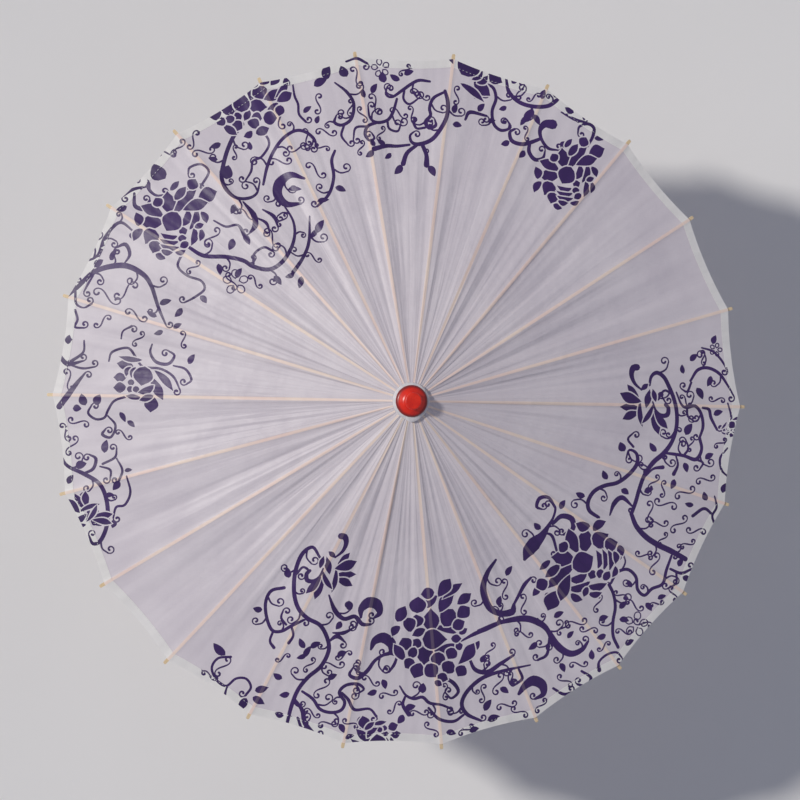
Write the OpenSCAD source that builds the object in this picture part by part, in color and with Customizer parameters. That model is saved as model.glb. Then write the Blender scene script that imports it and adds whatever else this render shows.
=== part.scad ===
// Paper-umbrella style parasol, shown open, with its folding frame.
// Millimetres, +Z up along the shaft, origin on the shaft's axis at the middle of the hand grip.

/* [Canopy] */
// Radius from the shaft's axis to the rib tips when open
tip_r = 420; // [300:1:520]
// How far each rib tip stands out past the cloth's edge
tip_out = 6; // [2:0.5:12]
// Angle of an open rib, measured from straight down
open_deg = 73; // [60:0.5:82]
// How far the cloth sinks between two ribs
cloth_sag = 2; // [0:0.1:2.4]
// Thickness of the cloth
cloth_t = 0.4; // [0.3:0.05:0.8]
// Width of the hem band along the cloth's edge
hem_w = 10; // [6:0.5:18]
// Thickness of the hem band on the cloth
hem_t = 0.3; // [0.2:0.05:0.6]

/* [Folding frame] */
// Height of the upper hub's pivot ring over the middle of the grip
hub_z = 470; // [400:1:560]
// Radius of the pivot rings of the upper hub and the runner
pivot_r = 15; // [14:0.1:18]
// Length of each strut, and of the rib from its hub pivot to its knee
link_l = 185; // [150:1:210]
// Width of a rib
rib_w = 4.6; // [3.6:0.1:4.8]
// Depth of a rib
rib_d = 3.4; // [2.4:0.1:4.5]
// Gap between a rib's pivot line and its underside, where the folded strut lies
rib_off = 2.6; // [2.2:0.1:4]
// Width of a strut
strut_w = 3.6; // [2.8:0.1:3.8]
// Depth of a strut
strut_d = 3; // [2.2:0.1:3.4]
// Thickness of the rib and strut ends that sit in the ring slots
end_t = 2.2; // [1.8:0.1:2.3]
// Width of the slots in the upper hub and the runner
slot_w = 2.8; // [2.6:0.1:3]
// Radius of the two wire rings
wire_r = 0.45; // [0.35:0.05:0.6]
// Radius of the peg in each knee
peg_r = 0.75; // [0.6:0.05:0.9]

/* [Hub and runner] */
// Outer radius of the slotted flanges
flange_r = 19.5; // [18:0.1:22]
// Length of the runner's finger tube below its pivot ring
runner_l = 28; // [20:1:40]
// Radius of the runner's finger tube
runner_r = 11; // [9.5:0.1:12]

/* [Shaft and handle] */
// Radius of the shaft
shaft_r = 6.5; // [5:0.1:7]
// Sliding gap between the shaft and the runner
slide_gap = 0.3; // [0.2:0.05:0.5]
// Radius of the hand grip
grip_r = 11; // [9:0.5:15]
// Length of the grip's straight part
grip_l = 80; // [60:1:110]

/* [Latch] */
// Height of the latch's shoulder over its pivot pin
latch_h = 48; // [35:1:60]
// How far the latch stands out of the shaft
latch_out = 2.9; // [2:0.1:3.5]
// Thickness of the latch tongue
latch_t = 2; // [1.4:0.1:2.4]

/* [Finial and crown] */
// Radius of the finial's wide disc
finial_r = 19; // [16:0.5:24]
// Radius of the finial's knob
knob_r = 10; // [8:0.1:13]
// Outer radius of the cloth cuff round the finial's foot
crown_r = 23; // [22:0.5:28]
// Height of the cuff on the finial
cuff_h = 5.4; // [4:0.1:8]
// Thickness of the cuff
crown_t = 0.9; // [0.5:0.1:1.5]

/* [Hidden] */
$fn = 48;
n = 22;
step = 360 / n;
slope = 90 - open_deg;
// Reach of a rib from its hub pivot to its tip
rib_l = (tip_r - pivot_r - (rib_off + rib_d / 2) * cos(open_deg)) / sin(open_deg);
runner_z = hub_z - 2 * link_l * cos(open_deg);
runner_bottom = runner_z - runner_l;
latch_top = runner_bottom - 0.8;
latch_z = latch_top - latch_h;
latch_x = 1.5;
stop_z = runner_z + 10.6;
cloth_r = tip_r - tip_out;
top_w = rib_off + rib_d;
// Height of the plane on top of the ribs, at radius r along a rib
function rib_top(r) = hub_z + top_w * sin(open_deg)
    - (r - pivot_r - top_w * cos(open_deg)) * tan(slope);
cloth_gap = 0.42;
function finial_under(r) = rib_top(r) + cloth_gap + cloth_t + 0.1 + crown_t + 0.1;
finial_z = finial_under(finial_r);
bamboo = [0.83, 0.68, 0.45];
pale_bamboo = [0.87, 0.74, 0.52];
silk = [0.9, 0.87, 0.92];
hem_silk = [0.94, 0.92, 0.93];
red_lacquer = [0.55, 0.05, 0.05];
turned_wood = [0.62, 0.43, 0.25];
shaft_wood = [0.8, 0.64, 0.43];
steel = [0.62, 0.62, 0.63];

// ---- shapes used by several parts ----

module around(i) {
    rotate([0, 0, (i - 1) * step])
        children();
}

module slots(z_low, z_high) {
    for (i = [1 : n])
        around(i)
            translate([pivot_r - 2.5, -slot_w / 2, z_low])
                cube([flange_r, slot_w, z_high - z_low]);
}

module ring(radius, thick) {
    rotate_extrude()
        translate([radius, 0])
            circle(r = thick);
}

module across(radius, length) {
    rotate([90, 0, 0])
        cylinder(h = length, r = radius, center = true);
}

// Side view of a rib: the eye and neck, the raised body, and the knee's two cheeks
module rib_side() {
    union() {
        circle(r = 1.9);
        polygon([
            [0, -1.6], [6, -1.6], [18, rib_off], [rib_l - 1, rib_off + 0.3],
            [rib_l, rib_off + 1], [rib_l, top_w - 0.8], [rib_l - 1, top_w],
            [18, top_w], [7, 1.6], [0, 1.6]
        ]);
        translate([link_l, 0])
            circle(r = 2.5);
        polygon([
            [link_l - 2.5, 0], [link_l + 2.5, 0],
            [link_l + 4.5, rib_off + 0.5], [link_l - 4.5, rib_off + 0.5]
        ]);
    }
}

// Top view of a rib: thin at the hub, a little wider at the knee, finer at the tip
module rib_plan() {
    e = end_t / 2;
    w = rib_w / 2;
    k = w + 0.2;
    polygon([
        [-3, -e], [8, -e], [24, -w], [link_l - 9, -w], [link_l - 5, -k],
        [link_l + 5, -k], [link_l + 9, -w], [rib_l - 40, -w],
        [rib_l - 1.5, 0.4 - w], [rib_l, 1 - w],
        [rib_l, w - 1], [rib_l - 1.5, w - 0.4],
        [rib_l - 40, w], [link_l + 9, w], [link_l + 5, k],
        [link_l - 5, k], [link_l - 9, w], [24, w], [8, e], [-3, e]
    ]);
}

module rib_piece() {
    difference() {
        intersection() {
            rotate([90, 0, 0])
                linear_extrude(height = 12, center = true)
                    rib_side();
            translate([0, 0, -6])
                linear_extrude(height = 18)
                    rib_plan();
        }
        across(0.6, 12);
        translate([link_l, 0, 0])
            across(peg_r + 0.05, 12);
        translate([link_l - 8, -1.25, -6])
            cube([16, 2.5, 6 + rib_off - 0.4]);
    }
    translate([link_l, 0, 0])
        across(peg_r, rib_w + 0.4);
}

module rib_at(i) {
    around(i)
        translate([pivot_r, 0, hub_z])
            rotate([0, slope, 0])
                rib_piece();
}

module strut_side() {
    union() {
        circle(r = 1.7);
        translate([link_l, 0])
            circle(r = 1.5);
        translate([0, -strut_d / 2])
            square([link_l, strut_d]);
    }
}

module strut_plan() {
    e = end_t / 2;
    w = strut_w / 2;
    polygon([
        [-3, -e], [4, -e], [14, -w], [link_l - 17, -w], [link_l - 8, -0.9],
        [link_l + 3, -0.9], [link_l + 3, 0.9], [link_l - 8, 0.9],
        [link_l - 17, w], [14, w], [4, e], [-3, e]
    ]);
}

module strut_piece() {
    difference() {
        intersection() {
            rotate([90, 0, 0])
                linear_extrude(height = 12, center = true)
                    strut_side();
            translate([0, 0, -6])
                linear_extrude(height = 12)
                    strut_plan();
        }
        across(0.6, 12);
        translate([link_l, 0, 0])
            across(peg_r + 0.1, 12);
    }
}

module strut_at(i) {
    around(i)
        translate([pivot_r, 0, runner_z])
            rotate([0, -slope, 0])
                strut_piece();
}

// ---- cloth: a thin closed skin over the ribs, flat at its hem and slack between ----

m = 4;
turns = n * m;
rings = 7;
function ring_r(j, r0, r1, k) = r0 + (r1 - r0) * j / k;
// How far round from the nearest rib, 0 on a rib and 1 midway between two
function off_rib(i) = 1 - abs(2 * ((i % m) / m) - 1);
function chord(i, r) =
    r * cos(step / 2) / cos(step * ((i % m) / m - 0.5));
function dip(i, r) = cloth_sag * sin(180 * pow(max(0, min(1, (r - 30) / (cloth_r - 30))), 0.8))
    * (1 - cos(180 * off_rib(i))) / 2;
function skin_point(i, r, up) = [
    chord(i, r) * cos(i * 360 / turns),
    chord(i, r) * sin(i * 360 / turns),
    rib_top(r) - dip(i, r) + up
];

module skin(r0, r1, k, low, high) {
    points = [
        for (side = [low, high])
            for (j = [0 : k])
                for (i = [0 : turns - 1])
                    skin_point(i, ring_r(j, r0, r1, k), side)
    ];
    layer = (k + 1) * turns;
    faces = concat(
        [
            for (j = [0 : k - 1])
                for (i = [0 : turns - 1])
                    each [
                        [j * turns + i, j * turns + (i + 1) % turns,
                            (j + 1) * turns + (i + 1) % turns],
                        [j * turns + i, (j + 1) * turns + (i + 1) % turns,
                            (j + 1) * turns + i]
                    ]
        ],
        [
            for (j = [0 : k - 1])
                for (i = [0 : turns - 1])
                    each [
                        [layer + j * turns + i, layer + (j + 1) * turns + (i + 1) % turns,
                            layer + j * turns + (i + 1) % turns],
                        [layer + j * turns + i, layer + (j + 1) * turns + i,
                            layer + (j + 1) * turns + (i + 1) % turns]
                    ]
        ],
        [
            for (i = [0 : turns - 1])
                each [
                    [i, layer + i, layer + (i + 1) % turns],
                    [i, layer + (i + 1) % turns, (i + 1) % turns],
                    [k * turns + i, k * turns + (i + 1) % turns,
                        layer + k * turns + (i + 1) % turns],
                    [k * turns + i, layer + k * turns + (i + 1) % turns,
                        layer + k * turns + i]
                ]
        ]
    );
    polyhedron(points = points, faces = faces, convexity = 6);
}

// ---- parts ----

module shaft() {
    color(shaft_wood)
        difference() {
            union() {
                translate([0, 0, -34])
                    cylinder(h = hub_z + 8 + 34, r = shaft_r);
                cylinder(h = hub_z + 24, r = 4);
            }
            // Slot for the latch tongue
            translate([latch_x - 2.4, -latch_t / 2 - 0.3, latch_z - 2.4])
                cube([shaft_r + 4, latch_t + 0.6, latch_h + 2.4 + 1.2]);
            translate([latch_x, 0, latch_z])
                across(0.95, 20);
            translate([0, 0, stop_z])
                across(1.05, 20);
            translate([0, 0, hub_z - 9])
                across(1.05, 20);
        }
}

module handle() {
    half = grip_l / 2;
    color(turned_wood)
        difference() {
            rotate_extrude()
                union() {
                    translate([0, -half])
                        square([grip_r, grip_l]);
                    // Rounded butt
                    translate([0, -half - 10])
                        square([grip_r - 4, 10.01]);
                    intersection() {
                        translate([grip_r - 10, -half])
                            circle(r = 10);
                        translate([0, -half - 10])
                            square([grip_r, 10.01]);
                    }
                    // Bead and cove at the top
                    translate([grip_r - 2, half + 3])
                        circle(r = 3.6);
                    translate([0, half - 0.01])
                        square([grip_r - 2, 7]);
                    polygon([
                        [0, half + 6], [grip_r - 1.2, half + 6],
                        [grip_r - 2.6, half + 16], [0, half + 16]
                    ]);
                }
            translate([0, 0, -34.2])
                cylinder(h = 34.2 + half + 20, r = shaft_r + 0.05);
        }
}

module upper_hub() {
    color(turned_wood)
        difference() {
            rotate_extrude()
                polygon([
                    [shaft_r + 0.05, hub_z - 14], [10.5, hub_z - 14],
                    [10.5, hub_z - 7], [12, hub_z - 3.6],
                    [flange_r - 0.8, hub_z - 3.6], [flange_r, hub_z - 2.8],
                    [flange_r, rib_top(flange_r) - 0.15],
                    [8, rib_top(8) - 0.15], [shaft_r + 0.05, rib_top(8) - 0.15]
                ]);
            slots(hub_z - 10, hub_z + 2.5);
            translate([0, 0, hub_z])
                ring(pivot_r, wire_r + 0.05);
            translate([0, 0, hub_z - 9])
                across(1.05, 30);
        }
}

module hub_pin() {
    color(steel)
        translate([0, 0, hub_z - 9])
            across(1, 20.4);
}

module hub_wire() {
    color(steel)
        translate([0, 0, hub_z])
            ring(pivot_r, wire_r);
}

module runner() {
    bore = shaft_r + slide_gap;
    color(turned_wood)
        difference() {
            rotate_extrude()
                polygon([
                    [bore + 0.6, runner_bottom], [runner_r - 0.6, runner_bottom],
                    [runner_r, runner_bottom + 0.6], [runner_r, runner_z - 12],
                    [runner_r + 2.5, runner_z - 7], [flange_r - 1, runner_z - 6],
                    [flange_r, runner_z - 5], [flange_r, runner_z + 2.6],
                    [flange_r - 0.8, runner_z + 3.4], [10.5, runner_z + 3.4],
                    [9.5, runner_z + 4.4], [9.5, runner_z + 9],
                    [bore, runner_z + 9], [bore, runner_bottom + 0.6]
                ]);
            slots(runner_z - 2.5, runner_z + 8);
            translate([0, 0, runner_z])
                ring(pivot_r, wire_r + 0.05);
        }
}

module runner_wire() {
    color(steel)
        translate([0, 0, runner_z])
            ring(pivot_r, wire_r);
}

// The tongue leans out of its slot. Its shoulder carries the runner
module latch_spring() {
    out = shaft_r + latch_out;
    color(pale_bamboo)
        difference() {
            rotate([90, 0, 0])
                linear_extrude(height = latch_t, center = true)
                    union() {
                        translate([latch_x, latch_z])
                            circle(r = 2);
                        polygon([
                            [latch_x - 2, latch_z], [latch_x + 2, latch_z],
                            [shaft_r - 0.4, latch_z + 18],
                            [out, latch_top - 3], [out, latch_top],
                            [out - 3.6, latch_top], [out - 4.2, latch_top - 6]
                        ]);
                    }
            translate([latch_x, 0, latch_z])
                across(1, 10);
        }
}

module latch_pin() {
    color(steel)
        translate([latch_x, 0, latch_z])
            across(0.9, 12.2);
}

module stop_pin() {
    color(steel)
        translate([0, 0, stop_z])
            across(1, 18);
}

module canopy() {
    color(silk)
        skin(8.2, cloth_r, rings, cloth_gap, cloth_gap + cloth_t);
}

module hem_band() {
    low = cloth_gap + cloth_t + 0.05;
    color(hem_silk)
        skin(cloth_r - hem_w, cloth_r, 1, low, low + hem_t);
}

module hem_thread() {
    // One straight run of thread per panel, a little inside the hem band's inner edge
    r = cloth_r - hem_w + 1.4;
    z = rib_top(r) + cloth_gap + cloth_t + hem_t + 0.35;
    half = r * sin(step / 2);
    color(hem_silk)
        for (i = [1 : n])
            rotate([0, 0, (i - 0.5) * step])
                translate([r * cos(step / 2), 0, z])
                    rotate([90, 0, 0])
                        cylinder(h = 2 * half - 0.6, r = 0.22, center = true);
}

// The cuff's wall, leaning in from the canopy to the finial, moved out by "out"
module cuff_wall(out, low) {
    foot = rib_top(crown_r) + cloth_gap + cloth_t + 0.1;
    lip = finial_z + cuff_h;
    polygon([
        [crown_r + out - crown_t, foot + low], [crown_r + out, foot + low],
        [crown_r + out, foot + crown_t], [finial_r + 0.4 + crown_t + out, lip],
        [finial_r + 0.4 + out, lip], [crown_r + out - crown_t - 0.3, foot + crown_t]
    ]);
}

module crown_cloth() {
    up = cloth_gap + cloth_t + 0.1;
    color(silk)
        union() {
            rotate_extrude()
                union() {
                    polygon([
                        [8.2, rib_top(8.2) + up], [crown_r, rib_top(crown_r) + up],
                        [crown_r, rib_top(crown_r) + up + crown_t],
                        [8.2, rib_top(8.2) + up + crown_t]
                    ]);
                    cuff_wall(0, 0);
                }
            // The strip's loose end, lapped over itself
            rotate([0, 0, -92])
                rotate_extrude(angle = 46)
                    cuff_wall(crown_t - 0.1, 0.3);
        }
}

module finial() {
    rim = finial_z;
    color(red_lacquer)
        difference() {
            rotate_extrude()
                difference() {
                    union() {
                        // Wide body with a round rim and a sloping shoulder
                        translate([finial_r - 4.2, rim + 4.2])
                            circle(r = 4.2);
                        translate([0, rim])
                            square([finial_r - 4.2, 8.4]);
                        polygon([
                            [0, rim + 8.3], [finial_r - 3.2, rim + 8.3],
                            [knob_r + 1.4, rim + 11.6], [knob_r - 0.2, rim + 12.4],
                            [0, rim + 12.4]
                        ]);
                        // Flat-topped knob, a little wider at its top
                        polygon([
                            [0, rim + 12], [knob_r - 0.6, rim + 12],
                            [knob_r - 0.8, rim + 14], [knob_r, rim + 20.8],
                            [knob_r, rim + 22.4], [0, rim + 22.4]
                        ]);
                        translate([knob_r - 1.6, rim + 22.4])
                            circle(r = 1.6);
                        translate([0, rim + 22])
                            square([knob_r - 1.6, 2]);
                    }
                    // Underside follows the crown ring, and a boss sits on the hub
                    polygon([
                        [8, rim - 12], [finial_r + 6, rim - 12],
                        [finial_r + 6, finial_under(finial_r + 6)], [8, finial_under(8)]
                    ]);
                    translate([0, rim - 12])
                        square([8, rib_top(8) - 0.1 - (rim - 12)]);
                }
            translate([0, 0, hub_z])
                cylinder(h = 24.3, r = 4.05);
        }
}

module rib_01() {
    color(bamboo)
        rib_at(1);
}

module rib_02() {
    color(bamboo)
        rib_at(2);
}

module rib_03() {
    color(bamboo)
        rib_at(3);
}

module rib_04() {
    color(bamboo)
        rib_at(4);
}

module rib_05() {
    color(bamboo)
        rib_at(5);
}

module rib_06() {
    color(bamboo)
        rib_at(6);
}

module rib_07() {
    color(bamboo)
        rib_at(7);
}

module rib_08() {
    color(bamboo)
        rib_at(8);
}

module rib_09() {
    color(bamboo)
        rib_at(9);
}

module rib_10() {
    color(bamboo)
        rib_at(10);
}

module rib_11() {
    color(bamboo)
        rib_at(11);
}

module rib_12() {
    color(bamboo)
        rib_at(12);
}

module rib_13() {
    color(bamboo)
        rib_at(13);
}

module rib_14() {
    color(bamboo)
        rib_at(14);
}

module rib_15() {
    color(bamboo)
        rib_at(15);
}

module rib_16() {
    color(bamboo)
        rib_at(16);
}

module rib_17() {
    color(bamboo)
        rib_at(17);
}

module rib_18() {
    color(bamboo)
        rib_at(18);
}

module rib_19() {
    color(bamboo)
        rib_at(19);
}

module rib_20() {
    color(bamboo)
        rib_at(20);
}

module rib_21() {
    color(bamboo)
        rib_at(21);
}

module rib_22() {
    color(bamboo)
        rib_at(22);
}

module strut_01() {
    color(pale_bamboo)
        strut_at(1);
}

module strut_02() {
    color(pale_bamboo)
        strut_at(2);
}

module strut_03() {
    color(pale_bamboo)
        strut_at(3);
}

module strut_04() {
    color(pale_bamboo)
        strut_at(4);
}

module strut_05() {
    color(pale_bamboo)
        strut_at(5);
}

module strut_06() {
    color(pale_bamboo)
        strut_at(6);
}

module strut_07() {
    color(pale_bamboo)
        strut_at(7);
}

module strut_08() {
    color(pale_bamboo)
        strut_at(8);
}

module strut_09() {
    color(pale_bamboo)
        strut_at(9);
}

module strut_10() {
    color(pale_bamboo)
        strut_at(10);
}

module strut_11() {
    color(pale_bamboo)
        strut_at(11);
}

module strut_12() {
    color(pale_bamboo)
        strut_at(12);
}

module strut_13() {
    color(pale_bamboo)
        strut_at(13);
}

module strut_14() {
    color(pale_bamboo)
        strut_at(14);
}

module strut_15() {
    color(pale_bamboo)
        strut_at(15);
}

module strut_16() {
    color(pale_bamboo)
        strut_at(16);
}

module strut_17() {
    color(pale_bamboo)
        strut_at(17);
}

module strut_18() {
    color(pale_bamboo)
        strut_at(18);
}

module strut_19() {
    color(pale_bamboo)
        strut_at(19);
}

module strut_20() {
    color(pale_bamboo)
        strut_at(20);
}

module strut_21() {
    color(pale_bamboo)
        strut_at(21);
}

module strut_22() {
    color(pale_bamboo)
        strut_at(22);
}

shaft();
handle();
upper_hub();
hub_pin();
hub_wire();
runner();
runner_wire();
latch_spring();
latch_pin();
stop_pin();
canopy();
hem_band();
hem_thread();
crown_cloth();
finial();
rib_01();
rib_02();
rib_03();
rib_04();
rib_05();
rib_06();
rib_07();
rib_08();
rib_09();
rib_10();
rib_11();
rib_12();
rib_13();
rib_14();
rib_15();
rib_16();
rib_17();
rib_18();
rib_19();
rib_20();
rib_21();
rib_22();
strut_01();
strut_02();
strut_03();
strut_04();
strut_05();
strut_06();
strut_07();
strut_08();
strut_09();
strut_10();
strut_11();
strut_12();
strut_13();
strut_14();
strut_15();
strut_16();
strut_17();
strut_18();
strut_19();
strut_20();
strut_21();
strut_22();
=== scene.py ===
# Looks of a printed satin parasol, built round its packed folding frame. The cloth is worked out in
# millimetres in plan, with rib_01 along +X, then lifted onto the ribs; every object is in metres.

import math

import bpy
import numpy as np
from mathutils import Matrix, Vector
from mathutils.geometry import delaunay_2d_cdt


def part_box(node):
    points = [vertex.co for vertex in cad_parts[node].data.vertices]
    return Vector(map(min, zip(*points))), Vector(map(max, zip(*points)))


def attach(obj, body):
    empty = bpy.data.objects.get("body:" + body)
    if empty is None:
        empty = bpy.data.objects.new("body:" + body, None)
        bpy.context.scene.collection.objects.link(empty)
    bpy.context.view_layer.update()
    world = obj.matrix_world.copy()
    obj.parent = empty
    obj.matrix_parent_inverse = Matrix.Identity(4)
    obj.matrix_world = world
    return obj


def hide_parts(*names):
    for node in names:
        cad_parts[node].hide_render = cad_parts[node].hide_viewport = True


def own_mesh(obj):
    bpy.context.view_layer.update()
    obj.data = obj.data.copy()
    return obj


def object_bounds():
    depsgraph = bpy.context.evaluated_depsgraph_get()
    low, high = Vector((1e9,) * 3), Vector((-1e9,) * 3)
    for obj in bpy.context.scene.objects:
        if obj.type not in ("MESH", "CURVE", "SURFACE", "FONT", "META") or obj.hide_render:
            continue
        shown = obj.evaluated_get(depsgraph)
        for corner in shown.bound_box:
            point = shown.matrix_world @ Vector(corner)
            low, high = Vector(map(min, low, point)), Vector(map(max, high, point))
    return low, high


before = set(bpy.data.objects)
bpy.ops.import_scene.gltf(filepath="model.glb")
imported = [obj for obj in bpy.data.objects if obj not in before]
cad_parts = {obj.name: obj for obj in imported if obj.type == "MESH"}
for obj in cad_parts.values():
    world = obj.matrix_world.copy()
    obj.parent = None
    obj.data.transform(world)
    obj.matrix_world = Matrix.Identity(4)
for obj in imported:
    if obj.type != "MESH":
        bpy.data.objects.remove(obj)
cad_low, cad_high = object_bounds()

MM = 0.001
RIBS = 22
STEP = 2 * math.pi / RIBS
HALF = STEP / 2
RNG = np.random.default_rng(22)

# ---- sizes of the cloth, in millimetres ----

canopy_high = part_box("canopy")[1]
CLOTH_R = canopy_high.x / MM             # rim radius on a rib
HUB_R = 8.2                              # the cloth's hole round the hub
INNER_R = 14.0                           # where the shown cloth starts, under the crown cuff
SLOPE = math.radians(17)                 # slope of an open rib
FALL = math.tan(SLOPE)                   # how far it falls for each millimetre outward
TOP_Z = canopy_high.z / MM               # cloth's height at its hole
HEM_W = 10.0                             # width of the folded hem
HEM_LIFT = 0.35                          # the hem's second layer lies this much higher
HEM_HOLLOW = 3.6                         # how far the rim curves in between two ribs
RIB_HALF = 2.3                           # half a rib's width
SAG = 2.2                                # how far the cloth sinks between two ribs
RIDGE = 0.45                             # how far a rib lifts the cloth stretched over it


# ---- shape of the cloth ----

# Folds across a gore: how many half waves, and the steepness of each set
FOLDS = [(2.6, 0.12), (4.7, 0.14), (7.9, 0.07)]
fold_phase = RNG.uniform(0, 2 * math.pi, (RIBS, len(FOLDS), 3))
fold_size = RNG.uniform(0.35, 1.25, (RIBS, len(FOLDS)))
gore_slack = RNG.uniform(0.7, 1.25, RIBS)


def rib_axes(rib):
    """Unit vectors along and across a rib, in plan."""
    a = rib * STEP
    return np.array([math.cos(a), math.sin(a)]), np.array([-math.sin(a), math.cos(a)])


def cloth_height(plan, rib, side):
    """Height of the cloth over plan points on one side (1 or -1) of a rib, in millimetres."""
    along, across = rib_axes(rib)
    rho = plan @ along
    tau = (plan @ across) * side
    gore = rib if side > 0 else (rib - 1) % RIBS
    mid_rho = rho * math.cos(HALF) + tau * math.sin(HALF)
    off_mid = rho * math.sin(HALF) - tau * math.cos(HALF)
    half_width = np.maximum(mid_rho * math.tan(HALF), 0.5)
    v = np.clip(-side * off_mid / half_width, -1.2, 1.2)
    soft = 2.0
    z = TOP_Z - 0.2 - (rho - HUB_R) * FALL
    z = z - FALL * math.tan(HALF) * (np.sqrt(tau ** 2 + soft ** 2) - soft)
    z = z + RIDGE * np.exp(-(np.maximum(np.abs(tau) - 1.5, 0) / 1.6) ** 2)
    r = np.clip((mid_rho - 26) / (CLOTH_R - 26), 0, 1)
    body = np.sin(math.pi * r ** 0.8)
    hold = np.clip(1 - v ** 2, 0, 1) ** 2
    z = z - SAG * gore_slack[gore] * body * hold
    spread = np.clip((mid_rho - 35) / 110, 0, 1) * (0.35 + 0.65 * np.clip((CLOTH_R - mid_rho) / 130, 0, 1))
    for k, (waves, steep) in enumerate(FOLDS):
        p0, p1, p2 = fold_phase[gore, k]
        drift = p0 + 1.6 * np.sin(mid_rho / (70 + 25 * k) + p1)
        swell = np.clip(0.3 + 0.9 * np.sin(mid_rho / (42 + 9 * k) + p2), 0, 1) ** 1.5
        size = steep * fold_size[gore, k] * half_width / (math.pi * waves)
        z = z + size * swell * spread * hold * np.cos(math.pi * waves * v + drift)
    return z


def cloth_normals(plan, rib, side):
    """Unit normals of that surface, from its slopes."""
    d = 0.05
    dx = np.array([d, 0])
    dy = np.array([0, d])
    sx = (cloth_height(plan + dx, rib, side) - cloth_height(plan - dx, rib, side)) / (2 * d)
    sy = (cloth_height(plan + dy, rib, side) - cloth_height(plan - dy, rib, side)) / (2 * d)
    n = np.stack([-sx, -sy, np.ones(len(plan))], 1)
    return n / np.linalg.norm(n, axis=1)[:, None]


def row_point(rib, side, r, share):
    """Plan point on the line across a half gore at rib radius r; share is 0 on the rib, 1 midway."""
    along, across = rib_axes(rib)
    hollow = HEM_HOLLOW * (r / CLOTH_R) ** 8 * (1 - (1 - share) ** 2)
    mid = along * math.cos(HALF) + side * across * math.sin(HALF)
    on_rib = along * r
    on_mid = mid * r * math.cos(HALF)
    return on_rib + (on_mid - on_rib) * share - mid * hollow


def rib_share(r):
    """Share of a half gore that lies on the rib itself."""
    return min(RIB_HALF / (r * math.sin(HALF)), 0.75)


def strip_columns(r):
    """Shares across half of the narrow strip of cloth that covers a rib."""
    return [0.0, 0.65 * rib_share(r), rib_share(r)]


def panel_columns(r):
    """Shares from the edge of that strip to midway between two ribs."""
    edge = rib_share(r)
    near = edge + min(1.7 / (r * math.sin(HALF)), 0.2 * (1 - edge))
    return [edge] + list(np.linspace(near, 1, 12))


# ---- the printed pattern: closed outlines in plan, in millimetres ----

marks = []                               # outlines in drawing order, each inked or cleared
PETAL_GAP = 1.65                          # clear line kept round every petal


def through(points, gap=2.6):
    """Smooth line through points, and where each sample lies between them."""
    p = np.array(points, float)
    p = np.vstack([2 * p[0] - p[1], p, 2 * p[-1] - p[-2]])
    line, at = [], []
    for k in range(1, len(p) - 2):
        a, b, c, d = p[k - 1:k + 3]
        n = max(2, int(math.ceil(np.linalg.norm(c - b) / gap)))
        for i in range(n):
            t = i / n
            line.append(0.5 * (2 * b + (c - a) * t + (2 * a - 5 * b + 4 * c - d) * t * t
                               + (3 * b - a - 3 * c + d) * t ** 3))
            at.append(k - 1 + t)
    line.append(p[-2])
    at.append(len(points) - 1)
    return np.array(line), np.array(at)


def stroke(points, widths, gap=2.6):
    """A brush stroke through points, as wide as widths say along it, with rounded ends."""
    line, at = through(points, gap)
    w = np.interp(at, np.linspace(0, len(points) - 1, len(widths)), widths) / 2
    d = np.gradient(line, axis=0)
    d = d / np.maximum(np.linalg.norm(d, axis=1), 1e-6)[:, None]
    n = np.stack([-d[:, 1], d[:, 0]], 1)
    cap = [math.radians(a) for a in (-50, 0, 50)]
    end = [line[-1] + w[-1] * (d[-1] * math.cos(a) - n[-1] * math.sin(a)) for a in cap]
    start = [line[0] + w[0] * (-d[0] * math.cos(a) + n[0] * math.sin(a)) for a in cap]
    left = line + n * w[:, None]
    right = line - n * w[:, None]
    marks.append((np.vstack([left, end, right[::-1], start]), True))


def petal(x, y, length, width, turn, blunt=0.6, early=0.8, bend=0.0, outward=True):
    """A petal centred on x, y with a clear line round it, and a sharper tip than base.

    blunt 1 is pointed and 0.5 round; early under 1 is widest near its start; outward says that
    its tip is its far end along turn.
    """
    t = np.linspace(0, 1, 10)
    a = math.radians(turn)
    c, s = math.cos(a), math.sin(a)
    for grow, inked in ((PETAL_GAP, False), (0, True)):
        sharp = blunt + 0.6 * (t if outward else 1 - t)
        half = np.sin(math.pi * t ** early) ** sharp * (width / 2 + grow)
        u = (t - 0.5) * (length + 2 * grow)
        arch = bend * width * (1 - (2 * t - 1) ** 2)
        side = np.concatenate([arch + half, (arch - half)[-2:0:-1]])
        u = np.concatenate([u, u[-2:0:-1]])
        marks.append((np.stack([x + u * c - side * s, y + u * s + side * c], 1), inked))


def curl(x, y, r, turn, hand=1, width=1.8, turns=1.15):
    """A spiral that starts at x, y heading along turn and winds in to one hand."""
    a0 = math.radians(turn)
    n = 10
    cx = x - hand * r * math.sin(a0)
    cy = y + hand * r * math.cos(a0)
    points = []
    for i in range(n + 1):
        k = i / n
        a = a0 - hand * math.pi / 2 + hand * k * turns * 2 * math.pi
        q = r * (1 - 0.72 * k)
        points.append((cx + q * math.cos(a), cy + q * math.sin(a)))
    stroke(points, (width * 0.8, width, width * 1.5), r * 0.5)


def scroll(x, y, size, turn, hand=1, width=2.1):
    """A thin S scroll: it bends ever tighter to its two ends. The filler of the pattern."""
    n = 14
    step = size * 4.1 / (2 * n)
    line = []
    for way in (-1, 1):
        px, py = 0.0, 0.0
        half = []
        for i in range(n):
            u = (i + 0.5) / n
            a = math.radians(turn) + hand * 5.6 * u ** 2.3
            px += way * step * math.cos(a)
            py += way * step * math.sin(a)
            half.append((x + px, y + py))
        line = half[::-1] + [(x, y)] if way < 0 else line + half
    stroke(line, (width * 1.3, width * 0.7, width, width * 0.7, width * 1.3), size)


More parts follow.
